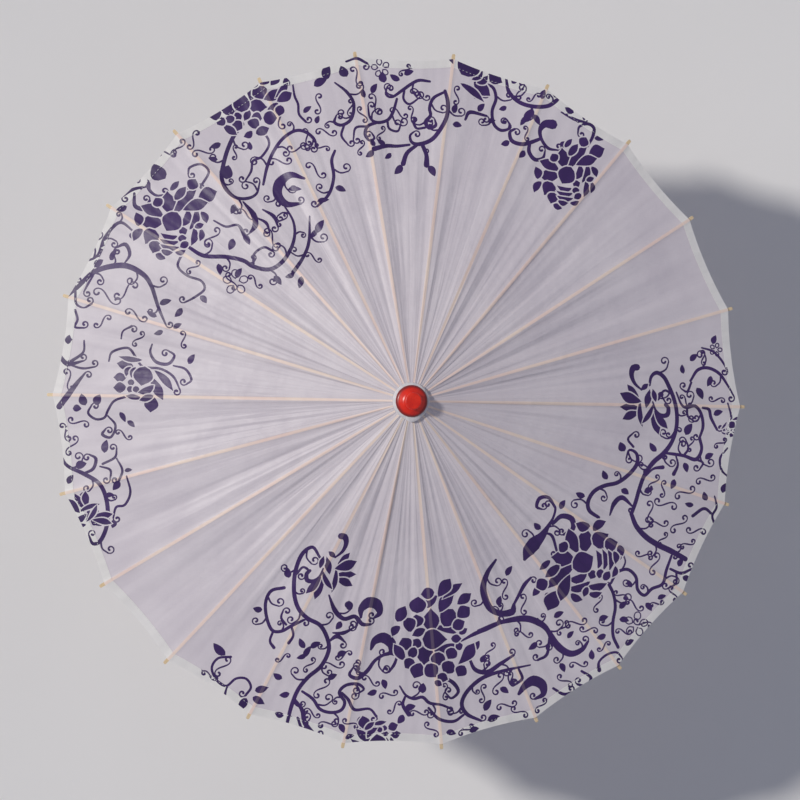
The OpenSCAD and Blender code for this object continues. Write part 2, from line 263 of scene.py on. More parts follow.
def floret(x, y, size, turn=0):
    """An open flower of five outlined petals."""
    for k in range(5):
        a = math.radians(turn + 72 * k)
        c, s = math.cos(a), math.sin(a)
        loop = []
        for u, v in ((0.3, 0), (0.55, 0.26), (0.88, 0.22), (1.0, 0), (0.88, -0.22), (0.55, -0.26), (0.32, 0)):
            loop.append((x + size * (u * c - v * s), y + size * (u * s + v * c)))
        stroke(loop, (1.5, 1.5), 2)


# Flower heads: petals as x, y, length, width, turn, blunt, early, bend about the head's centre.
# These petals and most stems were read from the photograph and rounded, so they follow its
# own drawing closely. They are to be replaced with a generic pattern.
LOTUS = [
    (0, 0, 20, 17, 60, 0.5, 0.95, 0), (-4, 21, 21, 13, 95, 0.8, 1.0, 0),
    (-22, -1, 22, 12, 180, 0.8, 1.0, 0), (-21, 11, 23, 10, 155, 0.6, 1.2, -0.1),
    (-15, 21, 9, 9, 120, 0.45, 1, 0), (-37, 2, 13, 8, 100, 0.5, 1, -0.2),
    (-36, -15, 14, 7, 55, 0.5, 1, 0.2), (-23, -17, 16, 14, 235, 0.65, 0.75, 0),
    (-18, -28, 12, 11, 250, 0.6, 0.8, 0), (-12, -38, 10, 6, 155, 0.5, 1, 0),
    (-3, -14, 16, 5, 170, 0.5, 1, 0.55), (-3, -20, 18, 4.5, 172, 0.5, 1, 0.6),
    (-2, -26, 18, 4.5, 174, 0.5, 1, 0.55), (-5, -32, 11, 5, 170, 0.5, 1, 0.3),
    (9, -32, 10, 4.5, 195, 0.5, 1, 0.3), (13, 5, 18, 7, 70, 0.5, 1, -0.45),
    (22, 4, 22, 6, 75, 0.5, 1, -0.5), (14, 22, 34, 9, 50, 0.6, 1.2, 0.1), (9, 31, 16, 7, 50, 0.45, 1, 0),
    (3, 39, 12, 5, 48, 0.45, 1, 0), (22, 41, 11, 10, 60, 0.45, 1.1, 0), (38, 30, 18, 13, 20, 0.7, 1.1, 0),
    (25, 17, 24, 10, 18, 0.6, 1.3, 0.1), (12, -10, 8, 7, 20, 0.4, 1, 0), (11, -18, 8, 6, 10, 0.4, 1, 0),
    (13, -25, 9, 6, 30, 0.4, 1, 0), (22, -16, 17, 6, 80, 0.5, 1, -0.3), (30, -14, 12, 5, 85, 0.5, 1, -0.3),
    (29, -4, 9, 5, 20, 0.5, 1, 0), (34, 5, 12, 6, 115, 0.5, 1, -0.2),
]
PEONY = [
    (1, 0, 26, 19, 0, 0.6, 0.75, 0), (14, 10, 26, 7, -16, 0.7, 1, 0.3),
    (13, -10, 28, 9, 20, 0.7, 1.2, -0.2), (-5, 23, 25, 16, 95, 0.8, 0.95, 0),
    (-10, -19, 23, 16, 265, 0.8, 0.9, 0), (16, 26, 20, 18, 245, 0.55, 0.8, 0),
    (6, -24, 15, 14, 85, 0.4, 1, 0), (22, -17, 13, 12, 60, 0.5, 1, 0), (-19, 8, 15, 8, 28, 0.6, 1, 0),
    (-21, -5, 12, 9, 150, 0.5, 1, 0), (-22, 22, 13, 13, 100, 0.45, 1, 0),
    (-33, 17, 17, 12, 120, 0.55, 1, -0.2), (-34, -6, 14, 13, 300, 0.5, 0.9, 0),
    (-25, -17, 13, 9, 70, 0.45, 1, 0), (-41, -16, 20, 9, 125, 0.55, 1, 0),
    (-28, -30, 12, 12, 45, 0.4, 1, 0), (-18, -38, 17, 14, 250, 0.6, 1.1, 0),
    (-1, -38, 17, 14, 310, 0.5, 1, 0), (19, -34, 15, 14, 55, 0.55, 1, 0), (13, -46, 12, 9, 160, 0.45, 1, 0),
    (8, -53, 9, 6, 150, 0.5, 1, 0), (35, -38, 13, 12, 60, 0.6, 1, 0),
    (40, -17, 27, 12, 55, 0.6, 1.5, -0.15), (31, -8, 8, 8, 20, 0.45, 1, 0), (27, 1, 11, 8, 0, 0.5, 1, 0),
    (35, 10, 10, 6, 35, 0.45, 1, 0), (29, 18, 14, 11, 30, 0.5, 1, 0), (34, 33, 16, 13, 40, 0.55, 1.2, 0),
    (34, 49, 18, 10, 40, 0.7, 1.1, 0), (13, 43, 23, 12, 52, 0.6, 1.1, 0.2),
    (-5, 45, 17, 9, 50, 0.55, 1, 0.2), (19, 58, 26, 8, 40, 0.7, 1.3, 0.1), (9, 62, 22, 12, 58, 0.5, 1.3, 0),
    (-11, 55, 14, 11, 10, 0.45, 1, 0), (-22, 41, 17, 16, 90, 0.4, 1, 0), (-41, 30, 18, 11, 65, 0.5, 1, 0),
    (-46, 9, 13, 8, 55, 0.55, 1, 0.2),
]
SMALL_LOTUS = [
    (0, 0, 20, 18, 80, 0.5, 1, 0), (16, -14, 27, 9, -62, 0.6, 1.2, 0), (24, -5, 28, 7, -48, 0.7, 1.1, 0.2),
    (10, -33, 17, 13, -95, 0.6, 1.1, 0), (-21, 13, 17, 9, 170, 0.6, 1.1, 0),
    (-27, -2, 13, 9, 180, 0.7, 1, 0), (-27, -14, 13, 10, 182, 0.7, 1, 0), (-17, 5, 11, 5, 65, 0.5, 1, 0.3),
    (-11, 4, 12, 4, 70, 0.5, 1, 0.4), (-14, -8, 7, 6, 80, 0.4, 1, 0), (-15, -16, 7, 6, 70, 0.4, 1, 0),
    (-8, -16, 7, 6, 100, 0.4, 1, 0), (3, -15, 18, 7, 25, 0.55, 1, -0.3), (-11, -25, 16, 5, -8, 0.5, 1, 0),
    (4, -26, 15, 6, 20, 0.5, 1, 0), (-15, 21, 24, 5, 172, 0.6, 1, 0.2),
]
LILY = [
    (-19, 9, 25, 10, 160, 0.6, 1.2, 0.1), (-16, 17, 18, 6, 135, 0.6, 1.2, 0.1),
    (-20, -3, 22, 7, 178, 0.6, 1.2, 0), (-18, -13, 20, 8, 202, 0.6, 1.2, -0.1),
    (3, 8, 20, 7, 78, 0.8, 1, 0), (11, 12, 14, 5, 105, 0.7, 1, 0), (12, -21, 26, 8, -68, 0.55, 1.3, 0.1),
    (20, -17, 24, 7, -50, 0.55, 1.3, -0.1), (-1, 22, 10, 5, 40, 0.6, 1, 0),
    (-5, -10, 28, 5, 97, 0.7, 0.8, 0.3), (3, -10, 24, 5, 60, 0.7, 0.8, -0.3),
]
LILY_STROKES = [
    ([(-5, 18), (-14, 26), (-18, 36), (-16, 44), (-11, 45)], (2, 4, 6, 8, 8)),
    ([(9, 4), (13, -6), (20, -12), (28, -11), (29, -3), (25, 1)], (2, 3, 5, 6, 5, 4)),
]


def flower(petals, x, y, size=1.0, turn=0, flip=False, strokes=()):
    """A flower head at x, y, mirrored left to right first if flip; its first petal lies on top."""
    a = math.radians(turn)
    c, s = math.cos(a), math.sin(a)
    m = -1 if flip else 1

    def at(u, v):
        return (x + size * (m * u * c - v * s), y + size * (m * u * s + v * c))

    for u, v, length, width, lean, blunt, early, bend in petals[1:] + petals[:1]:
        px, py = at(u, v)
        lean = 180 - lean if flip else lean
        lean += turn
        out = (px - x) * math.cos(math.radians(lean)) + (py - y) * math.sin(math.radians(lean)) > 0
        petal(px, py, size * length * 1.17, size * width * 1.28, lean, blunt, early, bend * m, out)
    for points, widths in strokes:
        stroke([at(u, v) for u, v in points], [size * w for w in widths])


def print_flowers():
    flower(PEONY, -195, 352, 0.82, -90, True)
    flower(LOTUS, -277, 208, 1.1)
    flower(SMALL_LOTUS, -309, 24, 1.0)
    flower(LOTUS, 195, 273, 1.0)
    flower(SMALL_LOTUS, 78, 403, 1.3, 150)
    flower(LILY, 293, 0, 1.0, 0, False, LILY_STROKES)
    flower(LOTUS, 221, -189, 1.22, 90, True)
    flower(PEONY, 43, -283, 1.0)
    flower(LILY, -85, -204, 0.95, 0, True, LILY_STROKES)
    flower(LILY, -374, -142, 0.85, 120, True)
    flower(SMALL_LOTUS, -18, -408, 0.85, 200)
    flower(SMALL_LOTUS, 404, -22, 0.4, 60)
    floret(-203, 137, 15, 20)
    floret(291, -263, 15, 10)
    floret(-29, 397, 11, 30)
    floret(382, 68, 8)


def tendril(x, y, turn, hand, reach, width):
    """A short hooked shoot with a curled tip."""
    a = math.radians(turn)
    b = a + 0.7 * hand
    bx = x + 0.55 * reach * math.cos(a)
    by = y + 0.55 * reach * math.sin(a)
    cx = bx + 0.5 * reach * math.cos(b)
    cy = by + 0.5 * reach * math.sin(b)
    stroke([(x, y), (bx, by), (cx, cy)], (width, width * 0.8, width * 0.7))
    curl(cx, cy, reach * 0.3, math.degrees(b) + 12 * hand, hand, width * 0.7, 0.95)


def vine(widths, *points):
    """A stem through points; thin ends curl up, and long stems put out shoots on both sides in turn."""
    stroke(points, widths)
    (x0, y0), (x1, y1), (x2, y2) = points[-3:]
    turn = math.degrees(math.atan2(y2 - y1, x2 - x1))
    bend = (x1 - x0) * (y2 - y1) - (y1 - y0) * (x2 - x1)
    if widths[-1] <= 3:
        curl(x2, y2, 4.6, turn, 1 if bend > 0 else -1, 2, 0.9)
    line = through(points, 4)[0]
    run = np.concatenate([[0], np.cumsum(np.linalg.norm(np.diff(line, axis=0), axis=1))])
    if run[-1] < 62 or max(widths) < 4:
        return
    way = 1
    for place in np.arange(20, run[-1] - 10, 27):
        k = int(np.searchsorted(run, place))
        dx, dy = line[min(k + 1, len(line) - 1)] - line[k - 1]
        lean = math.degrees(math.atan2(dy, dx)) + 52 * way
        tendril(line[k][0], line[k][1], lean, way, 15 + 4 * math.sin(place), 2.6)
        way = -way


def blob(x, y, length, width, turn, bend=0.12):
    """A small inked leaf, with no clear line round it."""
    t = np.linspace(0, 1, 8)
    half = np.sin(math.pi * t ** 0.8) ** 0.8 * width * 0.62
    arch = bend * width * (1 - (2 * t - 1) ** 2)
    u = (t - 0.5) * length * 1.15
    side = np.concatenate([arch + half, (arch - half)[-2:0:-1]])
    u = np.concatenate([u, u[-2:0:-1]])
    a = math.radians(turn)
    c, s = math.cos(a), math.sin(a)
    marks.append((np.stack([x + u * c - side * s, y + u * s + side * c], 1), True))


def leaves(*rows):
    """Small leaves, each as x, y, length, width, turn."""
    for row in rows:
        blob(*row)


def scrolls(*rows):
    """Thin S scrolls, each as x, y, size, turn, hand."""
    for row in rows:
        scroll(*row)


def print_left():
    vine((3, 5, 6, 7, 6, 5, 4, 2), (-405, 112), (-387, 128), (-365, 148), (-334, 155), (-312, 146),
         (-301, 132), (-292, 105), (-283, 84))
    vine((2, 3, 4, 4, 2), (-389, 157), (-365, 165), (-355, 188), (-338, 206), (-321, 195))
    vine((1, 4, 5, 2), (-334, 155), (-326, 168), (-331, 180), (-342, 176))
    vine((2, 3, 2), (-368, 143), (-374, 133), (-379, 123))
    vine((3, 3, 2, 3), (-389, 123), (-388, 109), (-379, 104), (-370, 109))
    vine((3, 3, 3, 2), (-389, 101), (-386, 90), (-389, 81), (-378, 80))
    vine((2, 3, 4), (-378, 65), (-379, 51), (-393, 40))
    vine((4, 6, 2), (-408, 49), (-397, 37), (-378, 41))
    vine((2, 3, 2), (-397, 37), (-380, 32), (-365, 34))
    vine((7, 7, 5, 2), (-406, -14), (-396, 0), (-386, 14), (-376, 27))
    vine((2, 3, 3, 3, 3, 3, 3, 2), (-349, 41), (-345, 52), (-327, 57), (-317, 45), (-309, 35), (-289, 33),
         (-274, 24), (-266, 8))
    vine((2, 3, 3, 2), (-274, 37), (-260, 33), (-253, 21), (-259, 15))
    vine((2, 3, 4, 4, 3, 2), (-299, 62), (-301, 52), (-294, 41), (-280, 39), (-273, 49), (-281, 55))
    vine((2, 2, 3), (-335, 68), (-333, 77), (-323, 83))
    leaves(
        (-362, 157, 12, 7, 40), (-378, -5, 13, 8, 110), (-361, -5, 12, 8, 70), (-385, -16, 9, 7, 0),
        (-253, 45, 12, 6, 60), (-345, 168, 14, 5, 60), (-300, 98, 12, 5, 150), (-284, 112, 13, 6, 20),
        (-270, 84, 10, 5, 30), (-292, 76, 10, 5, 200), (-396, 66, 10, 6, 80), (-402, 90, 9, 5, 90))
    scrolls(
        (-366, 184, 11, 200, 1), (-395, 18, 12, 250, 1), (-352, 118, 15, 300, 1), (-330, 125, 14, 250, -1),
        (-318, 96, 12, 300, 1), (-357, 88, 10, 250, -1), (-392, 140, 9, 120, 1), (-315, 68, 9, 20, 1),
        (-383, -32, 11, 200, -1), (-398, -44, 10, 260, 1), (-263, 68, 9, 60, 1))


def print_lower_left():
    vine((3, 3, 3, 3, 3, 3, 2), (-327, 0), (-342, -6), (-349, -17), (-353, -26), (-363, -28), (-372, -21),
         (-368, -11))
    vine((2, 3, 3, 4, 2), (-349, -24), (-340, -35), (-345, -49), (-355, -46), (-351, -39))
    vine((3, 4, 5, 5, 5, 5, 5, 4, 2), (-403, -72), (-395, -84), (-376, -93), (-357, -105), (-348, -126),
         (-347, -152), (-354, -172), (-363, -176), (-368, -166))
    vine((3, 4, 4, 2), (-376, -93), (-365, -87), (-362, -75), (-370, -70))
    vine((2, 3, 2), (-357, -84), (-345, -88), (-345, -100))
    vine((3, 3, 2), (-354, -81), (-340, -73), (-338, -62))
    vine((2, 3, 3), (-338, -74), (-331, -88), (-335, -101))
    vine((2, 3, 3, 3, 2), (-326, -95), (-321, -114), (-327, -129), (-337, -132), (-340, -145))
    vine((4, 3, 3, 2), (-370, -148), (-368, -132), (-361, -129), (-358, -139))
    leaves(
        (-351, -60, 14, 7, 80), (-379, -83, 12, 8, 20), (-338, -106, 12, 7, 240), (-377, -125, 21, 11, 250),
        (-332, -25, 12, 5, 300), (-322, -33, 10, 5, 320), (-391, -100, 11, 6, 60), (-345, -118, 9, 5, 10),
        (-340, -152, 9, 6, 260), (-324, -88, 8, 4, 10))
    vine((3, 3, 3, 3, 3, 3), (-197, -308), (-212, -310), (-219, -322), (-212, -337), (-201, -343),
         (-190, -334), (-178, -334), (-172, -344), (-178, -354))
    vine((2, 3, 3), (-200, -343), (-202, -352), (-203, -360))
    blob(-211, -299, 18, 8, 135)
    for x, y, length, width, turn in (
            (-159, -346, 17, 9, 15), (-162, -360, 17, 9, 330), (-181, -365, 18, 10, 240)):
        petal(x, y, length, width, turn)
    scrolls(
        (-330, -46, 9, 300, 1), (-390, -60, 11, 30, 1), (-358, -146, 8, 90, -1), (-206, -320, 12, 200, 1),
        (-221, -331, 9, 120, 1))


def print_upper_left():
    vine((6, 4, 3, 2), (-305, 253), (-303, 245), (-295, 239), (-285, 240))
    blob(-292, 268, 20, 15, 130, 0.2)
    vine((2, 4, 3), (-303, 250), (-322, 246), (-334, 238))
    vine((3, 5, 6, 3), (-321, 241), (-320, 226), (-308, 223), (-303, 233))
    vine((3, 3, 3, 3, 2), (-243, 251), (-234, 268), (-243, 277), (-256, 273), (-258, 265))
    vine((2, 3, 3, 5), (-228, 210), (-214, 203), (-200, 205), (-192, 192))
    vine((2, 7, 7, 2), (-194, 233), (-182, 218), (-180, 205), (-187, 195))
    vine((4, 5, 5, 5, 5, 5, 5, 4, 3, 2), (-259, 179), (-240, 168), (-214, 167), (-194, 163), (-182, 156),
         (-163, 153), (-147, 164), (-135, 187), (-135, 210), (-148, 233))
    vine((3, 3, 3, 3), (-182, 159), (-181, 171), (-170, 179), (-160, 175))
    vine((2, 5, 2), (-171, 224), (-158, 216), (-153, 203))
    vine((2, 4, 2), (-178, 214), (-167, 208), (-163, 197))
    vine((2, 4, 4, 5), (-116, 217), (-117, 187), (-124, 168), (-136, 150))
    vine((3, 3, 3, 3, 3, 3, 2), (-266, 168), (-270, 155), (-259, 144), (-243, 138), (-239, 128),
         (-251, 118), (-262, 112))
    vine((5, 5, 5, 5, 5, 5, 4, 4, 3, 2), (-194, 326), (-204, 312), (-212, 294), (-217, 276), (-219, 262),
         (-214, 248), (-203, 238), (-189, 237), (-178, 243), (-174, 257))
    blob(-212, 268, 15, 13, 80)
    vine((3, 3, 3, 3, 3, 3, 2), (-176, 315), (-166, 312), (-163, 301), (-172, 287), (-182, 282),
         (-184, 270), (-191, 258))
    vine((3, 4, 4, 4, 4, 4, 4, 2), (-170, 254), (-165, 276), (-157, 295), (-146, 310), (-132, 319),
         (-120, 318), (-110, 310), (-106, 299))
    vine((3, 8, 12, 11, 8, 3), (-122, 262), (-138, 266), (-151, 256), (-153, 242), (-143, 231), (-126, 232))
    blob(-133, 249, 14, 5, 0)
    vine((3, 4, 4, 4, 3), (-85, 296), (-89, 284), (-87, 264), (-93, 244), (-107, 229))
    vine((2, 4, 4, 4, 4, 4, 2), (-84, 378), (-70, 367), (-62, 353), (-65, 335), (-76, 327), (-85, 330),
         (-83, 338))
    vine((3, 3, 2), (-74, 326), (-77, 314), (-69, 303))
    vine((2, 3, 3, 3, 3), (-134, 375), (-132, 361), (-128, 351), (-127, 339), (-119, 330))
    leaves(
        (-104, 205, 16, 7, 60), (-93, 391, 18, 9, 80), (-101, 378, 16, 8, 30), (-73, 392, 13, 9, 120),
        (-144, 360, 12, 8, 70), (-141, 378, 10, 7, 110), (-112, 196, 13, 5, 230), (-190, 188, 13, 6, 300),
        (-240, 116, 10, 6, 310), (-269, 100, 12, 6, 230), (-208, 182, 13, 7, 250), (-222, 152, 12, 6, 280),
        (-199, 148, 12, 6, 60), (-154, 140, 12, 6, 310), (-128, 138, 13, 6, 260), (-140, 146, 10, 5, 200),
        (-100, 236, 13, 5, 10), (-79, 250, 12, 6, 340), (-117, 345, 11, 5, 40), (-105, 333, 9, 5, 70),
        (-226, 300, 12, 6, 200), (-229, 284, 10, 5, 170), (-206, 224, 11, 6, 250), (-185, 300, 9, 5, 100),
        (-310, 276, 12, 7, 110), (-336, 223, 12, 6, 200), (-240, 232, 11, 6, 340))
    scrolls(
        (-240, 292, 12, 160, 1), (-252, 306, 11, 100, -1), (-270, 296, 11, 200, 1), (-190, 218, 10, 300, 1),
        (-150, 282, 12, 330, 1), (-128, 298, 12, 40, -1), (-108, 272, 12, 290, 1), (-104, 352, 11, 300, -1),
        (-150, 334, 12, 250, 1), (-118, 312, 9, 250, 1), (-95, 318, 11, 320, 1), (-230, 190, 12, 20, 1),
        (-208, 138, 10, 330, -1), (-180, 138, 9, 280, 1), (-160, 190, 12, 90, 1), (-112, 168, 9, 300, 1),
        (-156, 352, 9, 110, 1), (-203, 292, 8, 300, -1), (-252, 154, 9, 10, 1), (-283, 290, 10, 150, 1),
        (-322, 262, 9, 170, -1), (-100, 300, 8, 200, -1), (-148, 212, 8, 200, 1), (-250, 250, 9, 40, -1))


def print_top():
    vine((3, 4, 4, 4, 3, 3, 2), (30, 382), (17, 383), (7, 378), (-4, 370), (-16, 362), (-23, 365),
         (-22, 373))
    vine((3, 4, 4, 4, 3, 2), (-10, 360), (-15, 344), (-22, 334), (-35, 331), (-43, 337), (-45, 351))
    vine((4, 4, 4, 3, 3, 2), (-35, 331), (-46, 326), (-49, 316), (-44, 309), (-38, 312), (-41, 318))
    vine((3, 3, 2), (-46, 326), (-60, 324), (-63, 310))
    vine((3, 3, 3, 2), (-22, 334), (-20, 324), (-10, 321), (-6, 329))
    vine((3, 3, 3, 2), (-1, 370), (-2, 360), (5, 354), (17, 362))
    vine((4, 5, 5, 5, 5, 5, 4, 3, 2), (48, 371), (51, 358), (50, 342), (43, 327), (31, 312), (16, 306),
         (7, 308), (5, 316), (10, 321))
    vine((3, 4, 4, 4, 5, 5, 4, 2), (48, 370), (34, 362), (29, 350), (30, 341), (24, 333), (28, 326),
         (36, 329), (35, 336))
    vine((3, 3, 4), (23, 326), (13, 325), (9, 333))
    vine((3, 4, 5, 6), (4, 305), (-11, 303), (-24, 303), (-39, 299))
    vine((4, 5, 6), (13, 305), (1, 295), (-4, 282))
    vine((5, 5, 7), (20, 304), (24, 293), (24, 281))
    vine((3, 5, 3), (72, 337), (78, 346), (98, 342))
    vine((3, 4, 3), (-70, 404), (-58, 408), (-45, 402))
    vine((3, 5, 5, 5, 5, 5, 3), (123, 388), (126, 372), (138, 360), (155, 355), (173, 356), (184, 363),
         (187, 366))
    vine((3, 4, 4, 4, 4, 4, 3, 2), (98, 381), (107, 376), (110, 363), (105, 348), (107, 332), (116, 325),
         (127, 329), (123, 338))
    blob(150, 344, 17, 8, 60)
    blob(159, 339, 13, 6, 300)
    blob(142, 337, 11, 5, 240)
    vine((12, 9, 5, 4, 4, 2), (179, 334), (169, 334), (163, 326), (165, 315), (173, 305), (185, 303))
    vine((4, 5, 5, 5, 4, 3), (163, 316), (150, 311), (139, 309), (128, 313), (126, 323), (132, 327))
    vine((4, 5, 5, 4, 2), (150, 311), (149, 300), (156, 291), (166, 293), (169, 302))
    vine((3, 4, 4, 4, 3, 2), (221, 308), (228, 320), (230, 331), (222, 336), (212, 332), (210, 324))
    vine((2, 4, 3), (190, 349), (206, 341), (218, 338))
    leaves(
        (-44, 293, 11, 6, 220), (-40, 307, 9, 5, 120), (-10, 275, 13, 7, 230), (30, 274, 13, 7, 300),
        (-30, 308, 10, 5, 150), (-22, 291, 9, 5, 220), (-12, 386, 12, 6, 150), (5, 392, 11, 6, 20),
        (60, 350, 11, 6, 70), (62, 330, 10, 6, 350), (92, 352, 11, 6, 50), (104, 336, 9, 5, 10),
        (-26, 386, 12, 8, 100), (-37, 372, 12, 6, 60), (-50, 366, 10, 5, 100), (118, 352, 9, 5, 200),
        (120, 310, 10, 6, 200), (140, 297, 10, 6, 230), (192, 310, 9, 6, 40), (200, 352, 11, 6, 150),
        (134, 386, 10, 6, 40), (168, 370, 11, 6, 70), (110, 394, 11, 6, 150), (236, 318, 10, 5, 350))
    scrolls(
        (-36, 353, 12, 80, 1), (-8, 343, 10, 300, 1), (-52, 340, 9, 150, -1), (18, 366, 11, 300, 1),
        (8, 342, 9, 250, 1), (62, 366, 10, 300, -1), (-54, 300, 8, 220, 1), (-30, 318, 8, 30, 1),
        (140, 374, 10, 40, 1), (156, 366, 8, 60, -1), (0, 395, 8, 10, 1), (-58, 386, 11, 80, 1),
        (-66, 348, 9, 230, 1), (92, 366, 8, 330, 1), (146, 322, 8, 60, 1))


def print_right():
    vine((3, 4, 5, 5, 5, 5, 5, 5, 5, 6, 6, 5, 5, 5, 5), (298, 24), (300, 34), (307, 39), (316, 34),
         (323, 22), (329, 8), (333, -9), (333, -26), (328, -43), (318, -57), (305, -68), (294, -83),
         (288, -100), (284, -116), (280, -128))
    vine((5, 6, 7, 7, 7, 6), (279, -130), (286, -145), (299, -158), (314, -167), (330, -174), (350, -184))
    vine((3, 3, 3, 2), (326, 14), (318, 18), (313, 13), (318, 4))
    vine((2, 3, 4, 4, 4, 4, 3), (332, 16), (339, 1), (346, -2), (356, 0), (364, -9), (367, -24), (363, -38))
    vine((3, 3, 2), (346, -2), (347, -12), (355, -18))
    vine((4, 4, 5, 4, 4, 3), (363, -38), (366, -52), (359, -64), (344, -60), (330, -58), (320, -57))
    vine((3, 3, 2), (343, -60), (349, -51), (345, -40))
    vine((3, 3, 2), (359, -64), (368, -68), (364, -76))
    vine((2, 3, 5), (333, -59), (336, -71), (331, -82))
    vine((2, 3, 5), (295, -85), (305, -76), (317, -74))
    vine((3, 4, 4, 4, 3, 2), (350, 30), (359, 43), (372, 46), (386, 40), (396, 28), (406, 12))
    vine((3, 3, 2), (351, 28), (346, 17), (339, 20))
    vine((3, 4, 4, 3), (366, -2), (374, -4), (377, -14), (385, -28))
    vine((4, 5, 5, 5, 5, 5, 5, 5, 4, 3, 2), (238, -135), (226, -127), (224, -116), (231, -104), (244, -97),
         (260, -93), (274, -83), (284, -70), (283, -58), (274, -54), (270, -64))
    vine((3, 3, 2), (279, -50), (272, -41), (279, -33))
    vine((2, 6, 6, 2), (252, -132), (257, -118), (267, -111), (281, -122))
    vine((2, 3, 3, 3), (384, -108), (387, -121), (382, -131), (384, -139))
    vine((3, 4, 4), (382, -130), (371, -123), (357, -132))
    vine((2, 3, 3, 2), (364, 70), (378, 66), (389, 56), (397, 44))
    vine((2, 3, 3), (398, 4), (403, -14), (399, -30))
    vine((2, 3, 3, 2), (399, -50), (390, -62), (392, -76), (400, -84))
    leaves(
        (349, -28, 14, 8, 60), (362, 15, 14, 7, 300), (265, -50, 11, 8, 120), (374, 30, 12, 6, 250),
        (386, -8, 11, 6, 20), (354, 58, 11, 6, 40), (340, 44, 10, 5, 100), (330, -94, 11, 6, 250),
        (346, -74, 11, 6, 290), (304, -50, 12, 6, 130), (270, -104, 10, 6, 330), (244, -84, 11, 6, 120),
        (214, -108, 11, 6, 160), (300, -102, 11, 6, 20), (376, -60, 11, 6, 30), (396, -98, 11, 6, 70),
        (372, -108, 10, 6, 110), (352, -118, 10, 5, 170), (310, 10, 9, 5, 60), (380, 80, 10, 6, 70))
    scrolls(
        (303, -128, 12, 60, 1), (322, -118, 13, 20, -1), (314, -142, 11, 330, 1), (346, -104, 12, 350, 1),
        (340, -142, 12, 10, 1), (362, -150, 11, 30, -1), (306, -92, 9, 20, 1), (384, 8, 9, 30, -1),
        (372, -88, 11, 340, 1), (390, -44, 8, 0, 1), (344, 6, 8, 100, 1), (318, -100, 9, 300, -1),
        (352, -166, 9, 350, 1), (330, -32, 9, 60, -1), (352, -46, 8, 220, 1), (366, 58, 8, 60, 1))


def print_lower_right():
    vine((4, 4, 4, 4, 4, 4), (254, -214), (261, -227), (264, -243), (262, -260), (263, -277), (270, -291))
    vine((5, 3, 3, 3, 2), (248, -319), (247, -309), (256, -300), (268, -297), (275, -303))
    vine((3, 4, 4, 4, 4, 4, 4, 4, 4, 3), (257, -214), (264, -201), (277, -197), (288, -206), (291, -221),
         (300, -228), (309, -220), (322, -214), (326, -198), (332, -180))
    vine((3, 4, 3), (331, -196), (345, -201), (358, -196))
    vine((3, 3, 2), (339, -201), (339, -213), (328, -220))
    vine((2, 4, 3), (171, -154), (181, -158), (188, -177))
    vine((4, 6, 7, 6, 3), (181, -143), (191, -134), (204, -137), (206, -149), (195, -156))
    vine((4, 15, 17, 10, 5, 3, 3, 2), (148, -186), (152, -176), (159, -167), (168, -158), (175, -147),
         (181, -136), (183, -124), (177, -117))
    vine((3, 4, 5, 4, 2), (183, -124), (174, -112), (163, -113), (160, -123), (167, -126))
    vine((2, 6, 9, 8, 6, 3), (168, -257), (182, -272), (195, -290), (211, -299), (225, -294), (232, -284))
    vine((3, 4, 3), (184, -280), (182, -300), (171, -307))
    vine((3, 6, 8, 8, 7, 9, 4), (113, -187), (103, -203), (99, -222), (107, -243), (121, -251), (136, -249),
         (138, -240))
    vine((3, 4, 5, 3), (136, -244), (143, -230), (150, -216), (157, -208))
    vine((3, 5, 8, 8, 6, 3), (96, -272), (122, -262), (151, -257), (170, -262), (182, -272), (188, -290))
    vine((3, 4, 3), (192, -341), (205, -348), (215, -346))
    vine((3, 4, 4, 3), (226, -320), (238, -328), (233, -338), (222, -336))
    leaves(
        (194, -252, 12, 6, 30), (250, -256, 11, 6, 20), (276, -258, 11, 6, 350), (274, -240, 11, 6, 40),
        (248, -278, 11, 6, 200), (284, -285, 11, 6, 30), (306, -242, 11, 6, 310), (322, -230, 10, 5, 20),
        (281, -214, 9, 5, 120), (344, -188, 10, 6, 60), (352, -208, 10, 6, 330), (162, -146, 10, 6, 140),
        (192, -120, 11, 6, 60), (120, -236, 11, 6, 80), (164, -224, 12, 7, 240), (130, -200, 12, 6, 60),
        (238, -300, 11, 6, 100), (202, -316, 11, 6, 300), (164, -290, 12, 6, 220), (210, -276, 10, 5, 50))
    scrolls(
        (311, -190, 12, 40, 1), (297, -180, 10, 200, -1), (216, -262, 12, 340, 1), (232, -270, 10, 30, -1),
        (288, -240, 11, 300, 1), (300, -262, 11, 20, -1), (276, -272, 9, 320, 1), (242, -238, 10, 40, 1),
        (150, -240, 11, 60, 1), (200, -268, 9, 20, 1), (316, -238, 8, 340, 1), (336, -226, 9, 330, -1),
        (222, -312, 10, 330, 1), (206, -332, 10, 0, -1), (126, -222, 11, 60, 1), (152, -276, 10, 320, 1),
        (252, -290, 8, 250, -1), (183, -235, 9, 90, 1), (270, -228, 8, 10, -1), (320, -160, 8, 20, 1))


